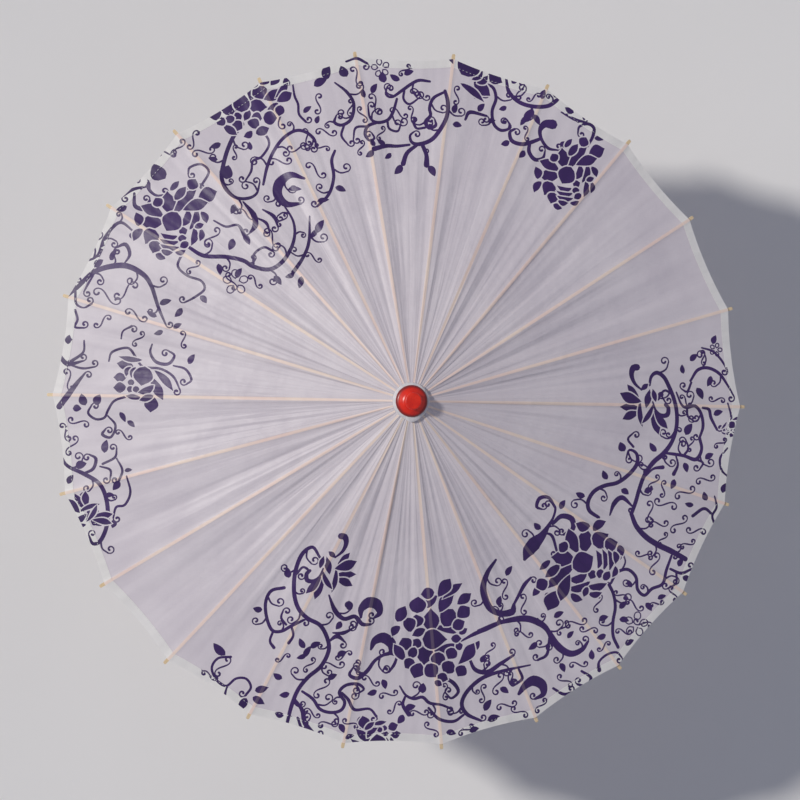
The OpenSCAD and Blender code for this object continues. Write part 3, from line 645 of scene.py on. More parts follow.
def print_bottom():
    vine((3, 4, 5, 5, 5, 5, 5, 5, 5, 5, 5, 5, 5, 5, 4), (-98, -187), (-107, -175), (-119, -184),
         (-126, -206), (-126, -231), (-120, -249), (-109, -260), (-94, -268), (-85, -282), (-82, -298),
         (-90, -317), (-105, -331), (-116, -346), (-123, -366), (-127, -386))
    vine((4, 4, 4, 4, 4, 4, 4, 3), (-138, -224), (-153, -228), (-159, -242), (-157, -260), (-150, -275),
         (-139, -276), (-127, -269), (-113, -262))
    vine((3, 3, 2), (-134, -268), (-140, -260), (-138, -251))
    vine((3, 3, 4), (-149, -277), (-152, -288), (-147, -296))
    vine((3, 3, 4), (-128, -269), (-125, -281), (-130, -290))
    vine((3, 3, 3, 2), (-124, -207), (-117, -199), (-110, -204), (-115, -212))
    vine((2, 6, 2), (-83, -288), (-73, -281), (-63, -288))
    vine((2, 5, 2), (-78, -277), (-66, -277), (-53, -270))
    vine((3, 5, 6, 5, 3), (-119, -358), (-110, -371), (-106, -386), (-96, -398), (-90, -402))
    vine((3, 4, 2), (-115, -380), (-108, -394), (-100, -380))
    vine((3, 4, 4, 4, 4, 4, 4, 4, 4, 3, 2), (-111, -348), (-98, -357), (-89, -369), (-76, -373),
         (-64, -370), (-60, -360), (-67, -349), (-60, -340), (-46, -338), (-38, -344), (-44, -349))
    vine((3, 4, 4, 3, 3), (-64, -349), (-56, -357), (-48, -369), (-30, -368), (-21, -377))
    vine((3, 4, 4, 5, 5, 4, 2), (0, -303), (-12, -301), (-26, -309), (-35, -322), (-46, -331), (-56, -327),
         (-52, -318))
    vine((3, 4, 3), (0, -304), (-3, -314), (-9, -323))
    vine((3, 8, 13, 13, 7, 3), (-46, -258), (-46, -248), (-38, -240), (-28, -242), (-24, -252), (-30, -258))
    vine((3, 9, 13, 12, 6, 3), (-32, -296), (-28, -286), (-18, -282), (-8, -289), (-8, -299), (-16, -303))
    vine((2, 6, 5, 5, 5, 3), (-85, -232), (-77, -250), (-66, -260), (-53, -257), (-44, -266), (-34, -266))
    vine((2, 5, 5, 3), (76, -285), (92, -276), (106, -270), (124, -262))
    vine((3, 5, 6, 5, 3), (87, -305), (95, -319), (110, -322), (125, -312), (141, -301))
    vine((2, 4, 5, 5, 5, 5, 3), (162, -313), (130, -320), (105, -329), (88, -344), (81, -360), (88, -373),
         (106, -381))
    vine((4, 9, 13, 12, 7, 3), (150, -348), (157, -338), (167, -332), (178, -337), (180, -348), (170, -354))
    vine((3, 4, 3), (148, -318), (153, -329), (146, -336))
    vine((2, 3, 4, 4, 4, 3, 3), (5, -340), (13, -351), (23, -355), (33, -353), (42, -360), (56, -362),
         (69, -367))
    vine((3, 4, 6), (12, -353), (10, -363), (18, -374))
    vine((3, 4, 4, 3), (41, -366), (54, -379), (72, -382), (84, -374))
    vine((4, 5, 4, 3, 2), (60, -330), (70, -336), (76, -346), (68, -354), (61, -348))
    leaves(
        (-134, -206, 11, 7, 100), (-107, -300, 14, 6, 60), (-114, -290, 12, 6, 120), (-98, -292, 12, 6, 30),
        (-114, -306, 11, 5, 200), (-41, -383, 11, 7, 250), (33, -342, 11, 8, 90), (113, -362, 14, 7, 60),
        (121, -378, 14, 7, 20), (19, -366, 12, 7, 20), (8, -380, 11, 7, 240), (-66, -302, 11, 6, 20),
        (-60, -244, 11, 6, 100), (-72, -268, 10, 6, 240), (-141, -330, 11, 6, 150),
        (-132, -352, 11, 6, 190), (-137, -376, 10, 6, 160), (-76, -330, 11, 6, 30),
        (-168, -250, 10, 6, 170), (-14, -338, 11, 6, 290), (-28, -348, 11, 6, 200), (98, -392, 11, 6, 20),
        (70, -396, 11, 6, 350), (96, -290, 11, 6, 70), (104, -306, 9, 5, 60), (-62, -392, 11, 6, 300),
        (-52, -402, 10, 5, 20), (132, -344, 11, 6, 330))
    scrolls(
        (-88, -344, 12, 20, 1), (-76, -316, 12, 330, 1), (-64, -304, 9, 60, -1), (-98, -374, 9, 300, 1),
        (-78, -386, 11, 340, 1), (-52, -386, 9, 10, -1), (-30, -334, 10, 300, 1), (-8, -350, 10, 340, 1),
        (0, -366, 9, 260, -1), (30, -372, 10, 330, 1), (46, -392, 10, 350, -1), (124, -336, 12, 40, 1),
        (106, -348, 10, 300, -1), (60, -346, 9, 60, 1), (112, -296, 9, 30, 1), (136, -362, 11, 340, 1),
        (152, -370, 10, 10, -1), (-104, -316, 9, 200, 1), (-136, -308, 8, 240, -1), (88, -392, 9, 0, 1),
        (-30, -392, 9, 330, 1), (178, -362, 9, 20, 1), (140, -330, 8, 250, 1), (-46, -318, 8, 60, 1))


def print_vines():
    print_left()
    print_lower_left()
    print_upper_left()
    print_top()
    print_right()
    print_lower_right()
    print_bottom()


print_vines()
print_flowers()


def inside(outline, points):
    """Which points lie inside a closed outline, by winding number."""
    x, y = points[:, 0:1], points[:, 1:2]
    x1, y1 = outline[:, 0], outline[:, 1]
    x2, y2 = np.roll(x1, -1), np.roll(y1, -1)
    turn = (x2 - x1) * (y - y1) - (x - x1) * (y2 - y1)
    up = (y1 <= y) & (y2 > y) & (turn > 0)
    down = (y1 > y) & (y2 <= y) & (turn < 0)
    return up.sum(1) != down.sum(1)


def printed(points):
    """Which plan points the ink covers once every outline is drawn."""
    found = np.zeros(len(points), bool)
    for outline, inked in marks:
        low, high = outline.min(0), outline.max(0)
        near = np.nonzero(np.all((points > low) & (points < high), axis=1))[0]
        if len(near):
            found[near[inside(outline, points[near])]] = inked
    return found


# ---- meshes ----


def new_object(name, points, faces, smooth=True):
    mesh = bpy.data.meshes.new(name)
    mesh.from_pydata([tuple(p) for p in points], [], [tuple(int(i) for i in f) for f in faces])
    mesh.update()
    obj = bpy.data.objects.new(name, mesh)
    bpy.context.scene.collection.objects.link(obj)
    for p in mesh.polygons:
        p.use_smooth = smooth
    return obj


def gore_patch(rib, side, radii, columns):
    """Plan mesh of a strip of half gore, cut along the print: points, triangles and which are ink."""
    rows = [[row_point(rib, side, r, f) for f in columns(r)] for r in radii]
    points, edges = [], []

    def add(p):
        points.append((float(p[0]), float(p[1])))
        return len(points) - 1

    grid = [[add(p) for p in row] for row in rows]
    for k in range(len(grid) - 1):
        edges.append((grid[k][0], grid[k + 1][0]))
        edges.append((grid[k][-1], grid[k + 1][-1]))
    for row in (grid[0], grid[-1]):
        edges.extend(zip(row[:-1], row[1:]))
    along, across = rib_axes(rib)
    mid = along * math.cos(HALF) + side * across * math.sin(HALF)
    mid_across = across * math.cos(HALF) * side - along * math.sin(HALF)
    spare = 0.5
    low = radii[0] * math.cos(HALF) - spare
    high = radii[-1] + spare
    reach = [p @ across * side for row in rows for p in row]
    nearest = min(reach) - spare
    farthest = max(reach) + spare
    limits = ((-side * across, -nearest), (side * across, farthest), (mid_across, spare), (-mid, -low),
              (mid, high))
    for a, _ in marks:
        b = np.roll(a, -1, axis=0)
        out = np.zeros(len(a), bool)
        for direction, limit in limits:
            out |= (a @ direction > limit) & (b @ direction > limit)
        if out.all():
            continue
        index = {}
        for i in np.nonzero(~out)[0]:
            j = (i + 1) % len(a)
            for q in (i, j):
                if q not in index:
                    index[q] = add(a[q])
            edges.append((index[i], index[j]))
    made = delaunay_2d_cdt([Vector(p) for p in points], edges, [], 0, 1e-4, False)
    plan = np.array([tuple(p) for p in made[0]])
    tris = np.array([f for f in made[2] if len(f) == 3])
    centre = plan[tris].mean(1)
    border = [rows[k][0] for k in range(len(rows))] + list(rows[-1][1:])
    border += [rows[k][-1] for k in range(len(rows) - 2, -1, -1)] + list(rows[0][-2:0:-1])
    tris = tris[inside(np.array(border), centre)]
    a, b, c = plan[tris[:, 0]], plan[tris[:, 1]], plan[tris[:, 2]]
    area = (b[:, 0] - a[:, 0]) * (c[:, 1] - a[:, 1]) - (b[:, 1] - a[:, 1]) * (c[:, 0] - a[:, 0])
    tris = np.where(area[:, None] < 0, tris[:, ::-1], tris)
    tris = tris[np.abs(area) > 1e-7]
    used = np.unique(tris)
    plan = plan[used]
    tris = np.searchsorted(used, tris)
    return plan, tris, printed(plan[tris].mean(1))


def set_attribute(mesh, name, kind, values):
    layer = mesh.attributes.new(name, kind, "POINT")
    field = "vector" if kind == "FLOAT_VECTOR" else "value"
    layer.data.foreach_set(field, np.asarray(values, np.float32).ravel())


def stitches(rib, side, lift, places):
    """Points, triangles and normals of the hem's running stitches at these shares of a half gore."""
    points, faces, normals = [], [], []
    radius = CLOTH_R - HEM_W + 1.4
    for t in places:
        ends = np.array([row_point(rib, side, radius, t - 0.027), row_point(rib, side, radius, t + 0.027)])
        middle = ends.mean(0)
        along = (ends[1] - ends[0]) / np.linalg.norm(ends[1] - ends[0])
        across = np.array([-along[1], along[0]]) * 0.26
        plan = np.array([ends[0], middle + across, ends[1], middle - across, middle])
        z = cloth_height(plan, rib, side) + lift
        z += np.array([-0.05, 0.06, -0.05, 0.06, 0.3])
        normal = cloth_normals(middle[None], rib, side)[0]
        base = len(points)
        points.extend(np.column_stack([plan, z]))
        flat = [across[0] * 2, across[1] * 2, 0]
        normals.extend([normal, normal + flat, normal, normal - flat, normal])
        for a, b in ((0, 3), (3, 2), (2, 1), (1, 0)):
            turned_up = np.cross(plan[a] - middle, plan[b] - middle) > 0
            faces.append((base + 4, base + a, base + b) if turned_up else (base + 4, base + b, base + a))
    return np.array(points), faces, np.array(normals)


def cloth_object(name, rib, sides, radii, columns, lift, materials, places=()):
    """A piece of the cloth or its hem on one or both sides of a rib, with the print cut into the mesh."""
    points, normals, tris, slots = [], [], [], []
    count = 0
    for side in sides:
        plan, found, dark = gore_patch(rib, side, radii, columns)
        points.append(np.column_stack([plan, cloth_height(plan, rib, side) + lift]))
        normals.append(cloth_normals(plan, rib, side))
        tris.append(found + count)
        slots.append(dark.astype(np.int32))
        count += len(plan)
    if len(places):
        thread, faces, thread_normals = stitches(rib, sides[0], lift, places)
        points.append(thread)
        normals.append(thread_normals / np.linalg.norm(thread_normals, axis=1)[:, None])
        tris.append(np.array(faces) + count)
        slots.append(np.full(len(faces), 2, np.int32))
    points = np.vstack(points)
    plan = points[:, :2]
    obj = new_object(name, points * MM, np.vstack(tris))
    for m in materials:
        obj.data.materials.append(m)
    obj.data.polygons.foreach_set("material_index", np.concatenate(slots))
    across = rib_axes(rib)[1]
    r = np.linalg.norm(plan, axis=1)
    set_attribute(obj.data, "plan", "FLOAT_VECTOR", np.column_stack([plan, r * 0]) * MM)
    set_attribute(obj.data, "fan", "FLOAT_VECTOR", np.column_stack([plan / r[:, None], r * MM]))
    set_attribute(obj.data, "off_rib", "FLOAT", np.abs(plan @ across))
    obj.data.normals_split_custom_set_from_vertices(np.vstack(normals).tolist())
    return obj


def fold_with_rib(obj, rib):
    """The cloth beside a rib rides on it as the rib folds, on a mesh of its own.

    It is not flattened as two ribs close up. Real cloth would stay whole and make a pleat midway
    between the ribs.
    """
    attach(obj, f"rib_{rib + 1:02d}")
    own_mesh(obj)


# ---- materials ----


def node(tree, kind, inputs=None, **settings):
    """A shader node with its settings made and its inputs set or linked."""
    n = tree.nodes.new(kind)
    for key, value in settings.items():
        setattr(n, key, value)
    for key, value in (inputs or {}).items():
        if isinstance(value, bpy.types.NodeSocket):
            tree.links.new(value, n.inputs[key])
        else:
            n.inputs[key].default_value = value
    return n


def new_material(name):
    m = bpy.data.materials.new(name)
    m.use_nodes = True
    m.node_tree.nodes.clear()
    return m, m.node_tree


def finish_material(tree, shader):
    out = tree.nodes.new("ShaderNodeOutputMaterial")
    tree.links.new(shader, out.inputs["Surface"])


def math_node(tree, operation, a, b=0.0, c=0.0, clamp=False):
    n = node(tree, "ShaderNodeMath", {0: a, 1: b, 2: c}, operation=operation, use_clamp=clamp)
    return n.outputs[0]


def blend_colour(tree, share, a, b, mode="MIX"):
    n = node(tree, "ShaderNodeMix", {"Factor": share}, data_type="RGBA", blend_type=mode)
    for key, value in ((6, a), (7, b)):
        if isinstance(value, bpy.types.NodeSocket):
            tree.links.new(value, n.inputs[key])
        else:
            n.inputs[key].default_value = (*value, 1)
    return n.outputs[2]


def noise(tree, vector, scale, detail=3.0, rough=0.55):
    inputs = {"Vector": vector, "Scale": scale, "Detail": detail, "Roughness": rough}
    n = node(tree, "ShaderNodeTexNoise", inputs)
    return n.outputs[0]


def scaled(tree, vector, factors):
    n = node(tree, "ShaderNodeVectorMath", {0: vector, 1: factors}, operation="MULTIPLY")
    return n.outputs[0]


def span(tree, value, low, high, to_low=0.0, to_high=1.0, smooth=False):
    kind = "SMOOTHSTEP" if smooth else "LINEAR"
    n = node(tree, "ShaderNodeMapRange", {"Value": value, 1: low, 2: high, 3: to_low, 4: to_high},
             interpolation_type=kind)
    return n.outputs[0]


def off_axis(tree, parts):
    """Distance from the shaft's axis, from a position's separate coordinates."""
    y_squared = math_node(tree, "MULTIPLY", parts[1], parts[1])
    return math_node(tree, "SQRT", math_node(tree, "MULTIPLY_ADD", parts[0], parts[0], y_squared))


def attribute(tree, name, output):
    return node(tree, "ShaderNodeAttribute", attribute_name=name).outputs[output]


def satin(name, base, other, dark=False):
    """Satin: fine weave, drag creases that fan from the hub, and a warm strip where a rib shows through."""
    m, tree = new_material(name)
    plan = attribute(tree, "plan", "Vector")
    fan = attribute(tree, "fan", "Vector")
    off_rib = attribute(tree, "off_rib", "Fac")
    far = node(tree, "ShaderNodeSeparateXYZ", {0: fan}).outputs[2]
    patchy = noise(tree, plan, 9.0, 3.0)
    streaks = noise(tree, scaled(tree, fan, (34, 34, 6)), 1.0, 2.0, 0.5)
    warp = noise(tree, scaled(tree, plan, (3200, 90, 1)), 1.0, 1.0)
    weft = noise(tree, scaled(tree, plan, (110, 2800, 1)), 1.0, 1.0)
    threads = math_node(tree, "ADD", warp, weft)
    shade = math_node(tree, "MULTIPLY_ADD", streaks, 0.25, math_node(tree, "MULTIPLY", patchy, 0.75))
    colour = blend_colour(tree, span(tree, shade, 0.38, 0.62), base, other)
    colour = blend_colour(tree, span(tree, threads, 0.7, 1.3, 0, 0.12), colour, (0.95, 0.95, 1.0), "OVERLAY")
    reach = span(tree, far, 0.02, 0.14, 0.62, 1.0)
    strip = span(tree, math_node(tree, "DIVIDE", off_rib, reach), 1.2, 2.5, 1, 0, smooth=True)
    grain = span(tree, noise(tree, scaled(tree, fan, (700, 700, 14)), 1.0, 2.0), 0.3, 0.7, 0.88, 1.0)
    strip = math_node(tree, "MULTIPLY", strip, math_node(tree, "MULTIPLY", grain, 0.10 if dark else 1.0))
    tone = blend_colour(tree, span(tree, patchy, 0.4, 0.6), (1.0, 0.79, 0.715), (1.0, 0.84, 0.73))
    colour = blend_colour(tree, strip, colour, tone)
    slow = noise(tree, scaled(tree, fan, (9, 9, 3.2)), 1.0, 1.5, 0.4)
    line = math_node(tree, "ABSOLUTE", math_node(tree, "SUBTRACT", slow, 0.5))
    crease = span(tree, line, 0.0, 0.05, 1, 0, smooth=True)
    second = noise(tree, scaled(tree, fan, (15, 15, 5)), 1.0, 1.0, 0.4)
    line = math_node(tree, "ABSOLUTE", math_node(tree, "SUBTRACT", second, 0.42))
    crease = math_node(tree, "MAXIMUM", crease, span(tree, line, 0.0, 0.045, 0.7, 0, smooth=True))
    broad = noise(tree, scaled(tree, fan, (17, 17, 2.4)), 1.0, 1.5, 0.4)
    fine = noise(tree, scaled(tree, fan, (110, 110, 9)), 1.0, 2.0)
    drag = noise(tree, scaled(tree, plan, (38, 38, 38)), 1.0, 2.0)
    relief = math_node(tree, "MULTIPLY_ADD", broad, 2.0, math_node(tree, "MULTIPLY", fine, 0.02))
    relief = math_node(tree, "MULTIPLY_ADD", drag, 0.6, relief)
    relief = math_node(tree, "MULTIPLY_ADD", crease, 0.05, relief)
    relief = math_node(tree, "MULTIPLY", relief, span(tree, far, 0.02, 0.15, 0.3, 1.0))
    relief = math_node(tree, "MULTIPLY", relief, span(tree, far, 0.26, 0.37, 1.0, 0.45))
    bump = node(tree, "ShaderNodeBump", {"Height": relief, "Distance": 0.003, "Strength": 0.8})
    weave = node(tree, "ShaderNodeBump", {"Height": threads, "Distance": 0.00012, "Strength": 0.5,
                                          "Normal": bump.outputs[0]})
    sheen = math_node(tree, "MULTIPLY_ADD", streaks, 0.5, math_node(tree, "MULTIPLY", threads, 0.25))
    rough = span(tree, sheen, 0.3, 0.7, 0.33 if dark else 0.36, 0.46 if dark else 0.52)
    shader = node(tree, "ShaderNodeBsdfPrincipled", {
        "Base Color": colour, "Roughness": rough, "Normal": weave.outputs[0],
        "Specular IOR Level": 0.65 if dark else 0.45,
        "Sheen Weight": 0.25, "Sheen Roughness": 0.35, "Sheen Tint": (0.92, 0.9, 1.0, 1),
    })
    glow = node(tree, "ShaderNodeBsdfTranslucent", {"Color": colour, "Normal": weave.outputs[0]})
    mix = node(tree, "ShaderNodeMixShader", {0: 0.16, 1: shader.outputs[0], 2: glow.outputs[0]})
    finish_material(tree, mix.outputs[0])
    return m


def rib_coordinates(tree):
    """Along, across and up any rib or strut, in metres; the last also tells them apart."""
    spot = node(tree, "ShaderNodeTexCoord").outputs["Object"]
    parts = node(tree, "ShaderNodeSeparateXYZ", {0: spot}).outputs
    turn = math_node(tree, "ARCTAN2", parts[1], parts[0])
    off = math_node(tree, "WRAP", turn, HALF, -HALF)
    far = off_axis(tree, parts)
    across = math_node(tree, "MULTIPLY", far, math_node(tree, "SINE", off))
    which = math_node(tree, "ROUND", math_node(tree, "DIVIDE", math_node(tree, "SUBTRACT", turn, off), STEP))
    lift = math_node(tree, "MULTIPLY_ADD", which, 0.37, parts[2])
    return node(tree, "ShaderNodeCombineXYZ", {0: far, 1: across, 2: lift}).outputs[0]


def bamboo(name, base, dark):
    """Split bamboo: long fibres, a few darker lines, lighter patches along it and a slightly worn sheen."""
    m, tree = new_material(name)
    spot = rib_coordinates(tree)
    fibre = noise(tree, scaled(tree, spot, (14, 1900, 1900)), 1.0, 3.0)
    lines = noise(tree, scaled(tree, spot, (5, 700, 700)), 1.0, 2.0)
    broad = noise(tree, scaled(tree, spot, (18, 60, 60)), 1.0, 2.0)
    colour = blend_colour(tree, span(tree, fibre, 0.3, 0.7, 0, 0.55), base, dark)
    colour = blend_colour(tree, span(tree, lines, 0.62, 0.72, 0, 0.5), colour, (0.36, 0.22, 0.10))
    colour = blend_colour(tree, span(tree, broad, 0.35, 0.75, 0, 0.35), colour, (0.93, 0.80, 0.56))
    bump = node(tree, "ShaderNodeBump", {"Height": fibre, "Distance": 0.0003, "Strength": 0.5})
    rough = span(tree, fibre, 0.3, 0.7, 0.38, 0.58)
    shader = node(tree, "ShaderNodeBsdfPrincipled", {
        "Base Color": colour, "Roughness": rough, "Normal": bump.outputs[0], "Coat Weight": 0.12,
        "Coat Roughness": 0.35})
    finish_material(tree, shader.outputs[0])
    return m


def turned(name, base, dark, rough_low, rough_high, coat, rings=0.0):
    """Wood turned on a lathe: grain along the shaft, faint tool rings, and varnish."""
    m, tree = new_material(name)
    spot = node(tree, "ShaderNodeTexCoord").outputs["Object"]
    warp = node(tree, "ShaderNodeVectorMath", {0: scaled(tree, spot, (1, 1, 0.12)), 1: (7, 7, 7)},
                operation="MULTIPLY").outputs[0]
    grain = noise(tree, scaled(tree, spot, (260, 260, 9)), 1.0, 4.0, 0.6)
    pores = noise(tree, scaled(tree, spot, (1500, 1500, 40)), 1.0, 2.0)
    broad = noise(tree, warp, 6.0, 3.0)
    tool = noise(tree, scaled(tree, spot, (3, 3, 2600)), 1.0, 1.0)
    colour = blend_colour(tree, span(tree, grain, 0.32, 0.68), base, dark)
    colour = blend_colour(tree, span(tree, pores, 0.60, 0.72, 0, 0.55), colour, tuple(c * 0.35 for c in dark))
    light = tuple(min(1, c * 1.25) for c in base)
    colour = blend_colour(tree, span(tree, broad, 0.4, 0.7, 0, 0.4), colour, light)
    relief = math_node(tree, "MULTIPLY_ADD", tool, rings, math_node(tree, "MULTIPLY", grain, 0.6))
    bump = node(tree, "ShaderNodeBump", {"Height": relief, "Distance": 0.0002, "Strength": 0.5})
    rough = span(tree, grain, 0.3, 0.7, rough_low, rough_high)
    shader = node(tree, "ShaderNodeBsdfPrincipled", {
        "Base Color": colour, "Roughness": rough, "Normal": bump.outputs[0], "Coat Weight": coat,
        "Coat Roughness": 0.12})
    finish_material(tree, shader.outputs[0])
    return m


def lacquer(name):
    """Red lacquer over wood: gloss, faint mottling, worn specks, and painted shade that darkens the outer rim
    of the wide foot.
    """
    m, tree = new_material(name)
    spot = node(tree, "ShaderNodeTexCoord").outputs["Object"]
    parts = node(tree, "ShaderNodeSeparateXYZ", {0: spot}).outputs
    far = off_axis(tree, parts)
    cloud = noise(tree, spot, 110.0, 4.0)
    wipe = noise(tree, scaled(tree, spot, (900, 900, 90)), 1.0, 3.0)
    specks = noise(tree, spot, 900.0, 2.0)
    # Painted shade: from about 15.5 mm out from the axis, the wide foot's outer rim is darkened to a deep
    # red-brown, with a cloudy edge.
    painted_shade_reach = math_node(tree, "MULTIPLY_ADD", cloud, 0.003, far)
    foot = span(tree, painted_shade_reach, 0.0155, 0.0195, 0, 0.85, smooth=True)
    colour = blend_colour(tree, span(tree, cloud, 0.3, 0.7), (0.66, 0.012, 0.004), (0.86, 0.030, 0.007))
    colour = blend_colour(tree, foot, colour, (0.13, 0.010, 0.012))
    colour = blend_colour(tree, span(tree, specks, 0.66, 0.74, 0, 0.6), colour, (0.22, 0.01, 0.008))
    bump = node(tree, "ShaderNodeBump", {"Height": wipe, "Distance": 0.00015, "Strength": 0.4})
    rough = span(tree, wipe, 0.3, 0.7, 0.26, 0.42)
    shader = node(tree, "ShaderNodeBsdfPrincipled", {
        "Base Color": colour, "Roughness": rough, "Normal": bump.outputs[0], "Coat Weight": 0.14,
        "Coat Roughness": 0.32})
    finish_material(tree, shader.outputs[0])
    return m


def drawn_wire(name):
    """Galvanised wire and nails: grey metal with drawing lines and dull spots."""
    m, tree = new_material(name)
    spot = node(tree, "ShaderNodeTexCoord").outputs["Object"]
    spots = noise(tree, spot, 700.0, 3.0)
    lines = noise(tree, scaled(tree, spot, (400, 400, 4000)), 1.0, 2.0)
    colour = blend_colour(tree, span(tree, spots, 0.35, 0.7), (0.55, 0.55, 0.56), (0.30, 0.28, 0.26))
    bump = node(tree, "ShaderNodeBump", {"Height": lines, "Distance": 0.00005, "Strength": 0.4})
    rough = span(tree, spots, 0.3, 0.7, 0.28, 0.5)
    shader = node(tree, "ShaderNodeBsdfPrincipled", {
        "Base Color": colour, "Roughness": rough, "Normal": bump.outputs[0], "Metallic": 1.0})
    finish_material(tree, shader.outputs[0])
    return m


def plain_cotton(name, base):
    """Cotton thread or cuff cloth: close weave and soft fuzz, in object space."""
    m, tree = new_material(name)
    spot = node(tree, "ShaderNodeTexCoord").outputs["Object"]
    weave = noise(tree, spot, 2600.0, 2.0)
    soft = noise(tree, spot, 160.0, 3.0)
    colour = blend_colour(tree, span(tree, soft, 0.3, 0.7), base, tuple(c * 0.86 for c in base))
    relief = math_node(tree, "MULTIPLY_ADD", weave, 0.4, soft)
    bump = node(tree, "ShaderNodeBump", {"Height": relief, "Distance": 0.0006, "Strength": 0.5})
    rough = span(tree, weave, 0.3, 0.7, 0.55, 0.75)
    shader = node(tree, "ShaderNodeBsdfPrincipled", {
        "Base Color": colour, "Roughness": rough, "Normal": bump.outputs[0], "Sheen Weight": 0.3,
        "Sheen Roughness": 0.4})
    finish_material(tree, shader.outputs[0])
    return m


SILK = satin("silk", (0.68, 0.62, 0.675), (0.77, 0.71, 0.755))
SILK_PRINT = satin("silk_print", (0.033, 0.012, 0.088), (0.056, 0.021, 0.134), dark=True)
HEM = satin("hem", (0.88, 0.86, 0.83), (0.94, 0.92, 0.90))
CUFF = plain_cotton("cuff_cloth", (0.80, 0.77, 0.79))
THREAD = plain_cotton("sewing_thread", (0.88, 0.87, 0.86))
RIB_BAMBOO = bamboo("rib_bamboo", (0.80, 0.62, 0.38), (0.62, 0.43, 0.22))
STRUT_BAMBOO = bamboo("strut_bamboo", (0.86, 0.70, 0.46), (0.70, 0.51, 0.28))
SHAFT_WOOD = turned("shaft_wood", (0.72, 0.52, 0.31), (0.56, 0.37, 0.19), 0.32, 0.5, 0.35)
TURNED_WOOD = turned("turned_wood", (0.46, 0.27, 0.13), (0.30, 0.155, 0.065), 0.28, 0.42, 0.5, 0.8)
LACQUER = lacquer("red_lacquer")
WIRE = drawn_wire("steel_wire")


def paint(name, material):
    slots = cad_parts[name].material_slots
    for s in slots:
        s.link = "OBJECT"
        s.material = material


for i in range(1, RIBS + 1):
    paint(f"rib_{i:02d}", RIB_BAMBOO)
    paint(f"strut_{i:02d}", STRUT_BAMBOO)
for name in ("handle", "upper_hub", "runner"):
    paint(name, TURNED_WOOD)
for name in ("hub_pin", "hub_wire", "runner_wire", "latch_pin", "stop_pin"):
    paint(name, WIRE)
paint("shaft", SHAFT_WOOD)
paint("latch_spring", STRUT_BAMBOO)
paint("finial", LACQUER)


# ---- canopy and hem ----

cloth_rows = [INNER_R, 18, 23, 29, 36] + list(np.linspace(46, CLOTH_R - HEM_W, 30)) + [CLOTH_R - 5, CLOTH_R]
hem_rows = [CLOTH_R - HEM_W, CLOTH_R - 6.5, CLOTH_R - 3, CLOTH_R]
STITCHES = 12                            # running stitches beside a rib
CLOTH_MATERIALS = [SILK, SILK_PRINT]
HEM_MATERIALS = [HEM, SILK_PRINT, THREAD]
rim_edge = rib_share(CLOTH_R)
beside_rib = [rim_edge + (1 - rim_edge) * (i + 0.5) / STITCHES for i in range(STITCHES)]


def declare(cloth, hem, cover=(), hem_cover=()):
    """Hide the CAD canopy, hem band and hem thread, which the cloth and hem beside a rib stand for."""
    for piece in (cloth, *cover):
        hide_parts("canopy")
    for piece in (hem, *hem_cover):
        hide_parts("hem_band", "hem_thread")


for rib in range(RIBS):
    tag = f"{rib + 1:02d}"
    both = (1, -1)
    cover = cloth_object(f"canopy_{tag}_rib", rib, both, cloth_rows, strip_columns, 0.0, CLOTH_MATERIALS)
    hem_cover = cloth_object(f"hem_{tag}_rib", rib, both, hem_rows, strip_columns, HEM_LIFT, HEM_MATERIALS,
                             [0.0])
    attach(cover, f"rib_{tag}")
    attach(hem_cover, f"rib_{tag}")
    for side, word in ((1, "left"), (-1, "right")):
        name = f"{tag}_{word}"
        cloth = cloth_object(f"canopy_{name}", rib, [side], cloth_rows, panel_columns, 0.0, CLOTH_MATERIALS)
        hem = cloth_object(f"hem_{name}", rib, [side], hem_rows, panel_columns, HEM_LIFT, HEM_MATERIALS,
                           beside_rib)
        fold_with_rib(cloth, rib)
        fold_with_rib(hem, rib)
        if side > 0:
            declare(cloth, hem, [cover], [hem_cover])
        else:
            declare(cloth, hem)

# ---- crown cuff ----

cuff_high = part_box("crown_cloth")[1]


def crown_cuff():
    """A cloth strip wound round the finial's foot, gathered at its lip, with its loose end lapped."""
    around = 144
    foot = cuff_high.x / MM - 0.9
    lip_z = cuff_high.z / MM
    foot_z = TOP_Z - (foot - HUB_R) * FALL + 0.15
    profile = [(foot - 5.5, foot_z + 5.5 * FALL), (foot - 0.8, foot_z + 0.1), (foot, foot_z + 0.5),
               (foot - 0.4, foot_z + 2.6), (foot - 1.5, foot_z + 6.5), (foot - 2.6, lip_z - 0.9),
               (foot - 2.9, lip_z - 0.1), (foot - 3.3, lip_z), (foot - 3.6, lip_z - 0.5),
               (foot - 3.5, lip_z - 2.6)]
    points, faces = [], []
    for j, (r, z) in enumerate(profile):
        for i in range(around):
            a = 2 * math.pi * i / around
            share = min(1, j / 5)
            ripple = 0.16 * math.sin(7 * a + 0.4 * j) + 0.12 * math.sin(17 * a + 1 + 0.3 * j)
            ripple += 0.07 * math.sin(31 * a + j)
            dz = share * (0.25 * math.sin(2 * a + 1) + 0.12 * math.sin(9 * a))
            rough_r = r + ripple
            points.append((rough_r * math.cos(a) * MM, rough_r * math.sin(a) * MM, (z + dz - 0.4) * MM))
    for j in range(len(profile) - 1):
        for i in range(around):
            k = (i + 1) % around
            faces.append((j * around + i, j * around + k, (j + 1) * around + k, (j + 1) * around + i))
    lap_from, lap_to, steps = -110, -42, 18
    for i in range(steps + 1):
        t = i / steps
        a = math.radians(lap_from + (lap_to - lap_from) * t)
        wide = 0.3 + 4.4 * math.sin(math.pi * t ** 0.6) ** 0.9
        r_in = foot - 2.7 + 0.9 * t
        for k in range(4):
            r = r_in + wide * k / 3
            z = lip_z - 0.3 - 2.2 * (k / 3) ** 1.5 - 1.4 * t
            points.append((r * math.cos(a) * MM, r * math.sin(a) * MM, z * MM))
    start = len(profile) * around
    for i in range(steps):
        for k in range(3):
            j = start + i * 4 + k
            faces.append((j, j + 1, j + 5, j + 4))
    return new_object("crown_cuff", points, faces)


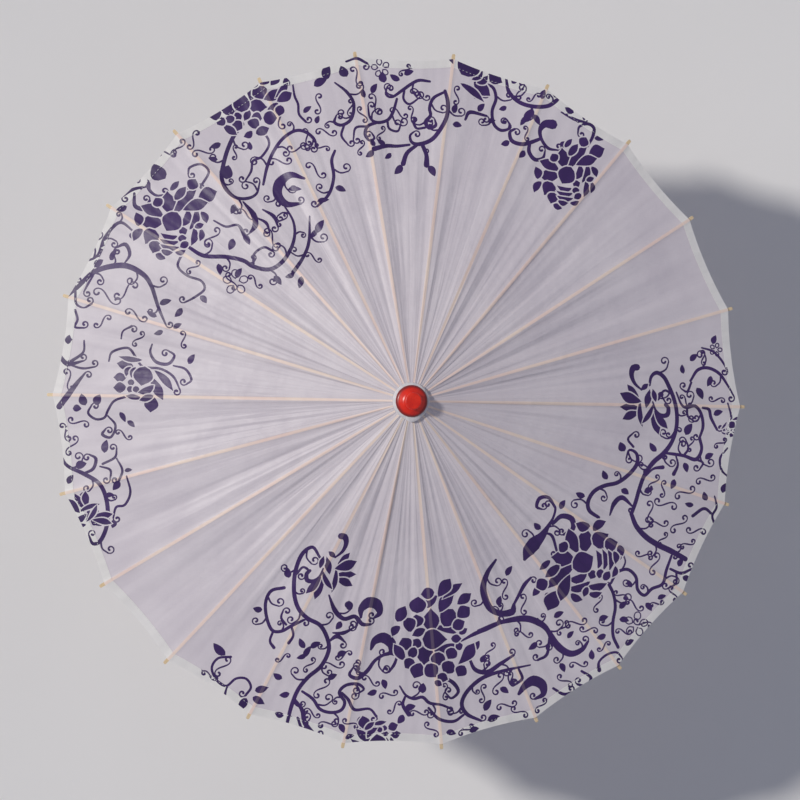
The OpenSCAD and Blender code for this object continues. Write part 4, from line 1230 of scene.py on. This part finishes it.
cuff = crown_cuff()
cuff.data.materials.append(CUFF)
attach(cuff, "mast")
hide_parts("crown_cloth")

# ---- floor, light and camera ----


def floor():
    z = cad_low.z - 0.0005
    size = 60.0
    corners = [(-size, -size, z), (size, -size, z), (size, size, z), (-size, size, z)]
    obj = new_object("floor", corners, [(0, 1, 2, 3)])
    m, tree = new_material("floor_paper")
    spot = node(tree, "ShaderNodeTexCoord").outputs["Object"]
    cloud = noise(tree, spot, 2.0, 3.0)
    colour = blend_colour(tree, span(tree, cloud, 0.3, 0.7), (0.82, 0.81, 0.80), (0.85, 0.84, 0.83))
    shader = node(tree, "ShaderNodeBsdfPrincipled", {"Base Color": colour, "Roughness": 0.8})
    finish_material(tree, shader.outputs[0])
    obj.data.materials.append(m)


def lights():
    """One broad, warm key light from the far left, and a cool studio all round."""
    data = bpy.data.lights.new("key", "SUN")
    data.energy = 2.05
    data.angle = math.radians(4.5)
    data.color = (1.0, 0.965, 0.91)
    obj = bpy.data.objects.new("key", data)
    azimuth = math.radians(163)
    elevation = math.radians(45)
    toward = Vector((math.cos(azimuth) * math.cos(elevation), math.sin(azimuth) * math.cos(elevation),
                     math.sin(elevation)))
    obj.location = toward * 4
    obj.rotation_euler = toward.to_track_quat("Z", "Y").to_euler()
    bpy.context.scene.collection.objects.link(obj)
    world = bpy.data.worlds.new("studio")
    bpy.context.scene.world = world
    world.use_nodes = True
    background = world.node_tree.nodes["Background"]
    background.inputs[0].default_value = (0.76, 0.81, 1.0, 1)
    background.inputs[1].default_value = 0.30


def camera():
    """Looks down on the open canopy from far off, a little to the -X side."""
    tilt = math.radians(7)
    roll = math.radians(1)
    distance = 8.0
    view_width = 0.956
    rim_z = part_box("hem_band")[0].z
    target = Vector((0.0018, 0.001, rim_z))
    data = bpy.data.cameras.new("camera")
    data.sensor_width = 36
    data.lens = data.sensor_width * distance / view_width
    data.clip_end = 60
    obj = bpy.data.objects.new("camera", data)
    back = Vector((-math.sin(tilt), 0, math.cos(tilt)))
    right = Vector((math.cos(tilt), 0, math.sin(tilt)))
    up = Vector((0, 1, 0))
    rolled_right = right * math.cos(roll) + up * math.sin(roll)
    rolled_up = up * math.cos(roll) - right * math.sin(roll)
    rotation = Matrix((rolled_right, rolled_up, back)).transposed()
    obj.matrix_world = Matrix.Translation(target + back * distance) @ rotation.to_4x4()
    bpy.context.scene.collection.objects.link(obj)
    bpy.context.scene.camera = obj


floor()
lights()
camera()
bpy.context.scene.view_settings.view_transform = "Standard"
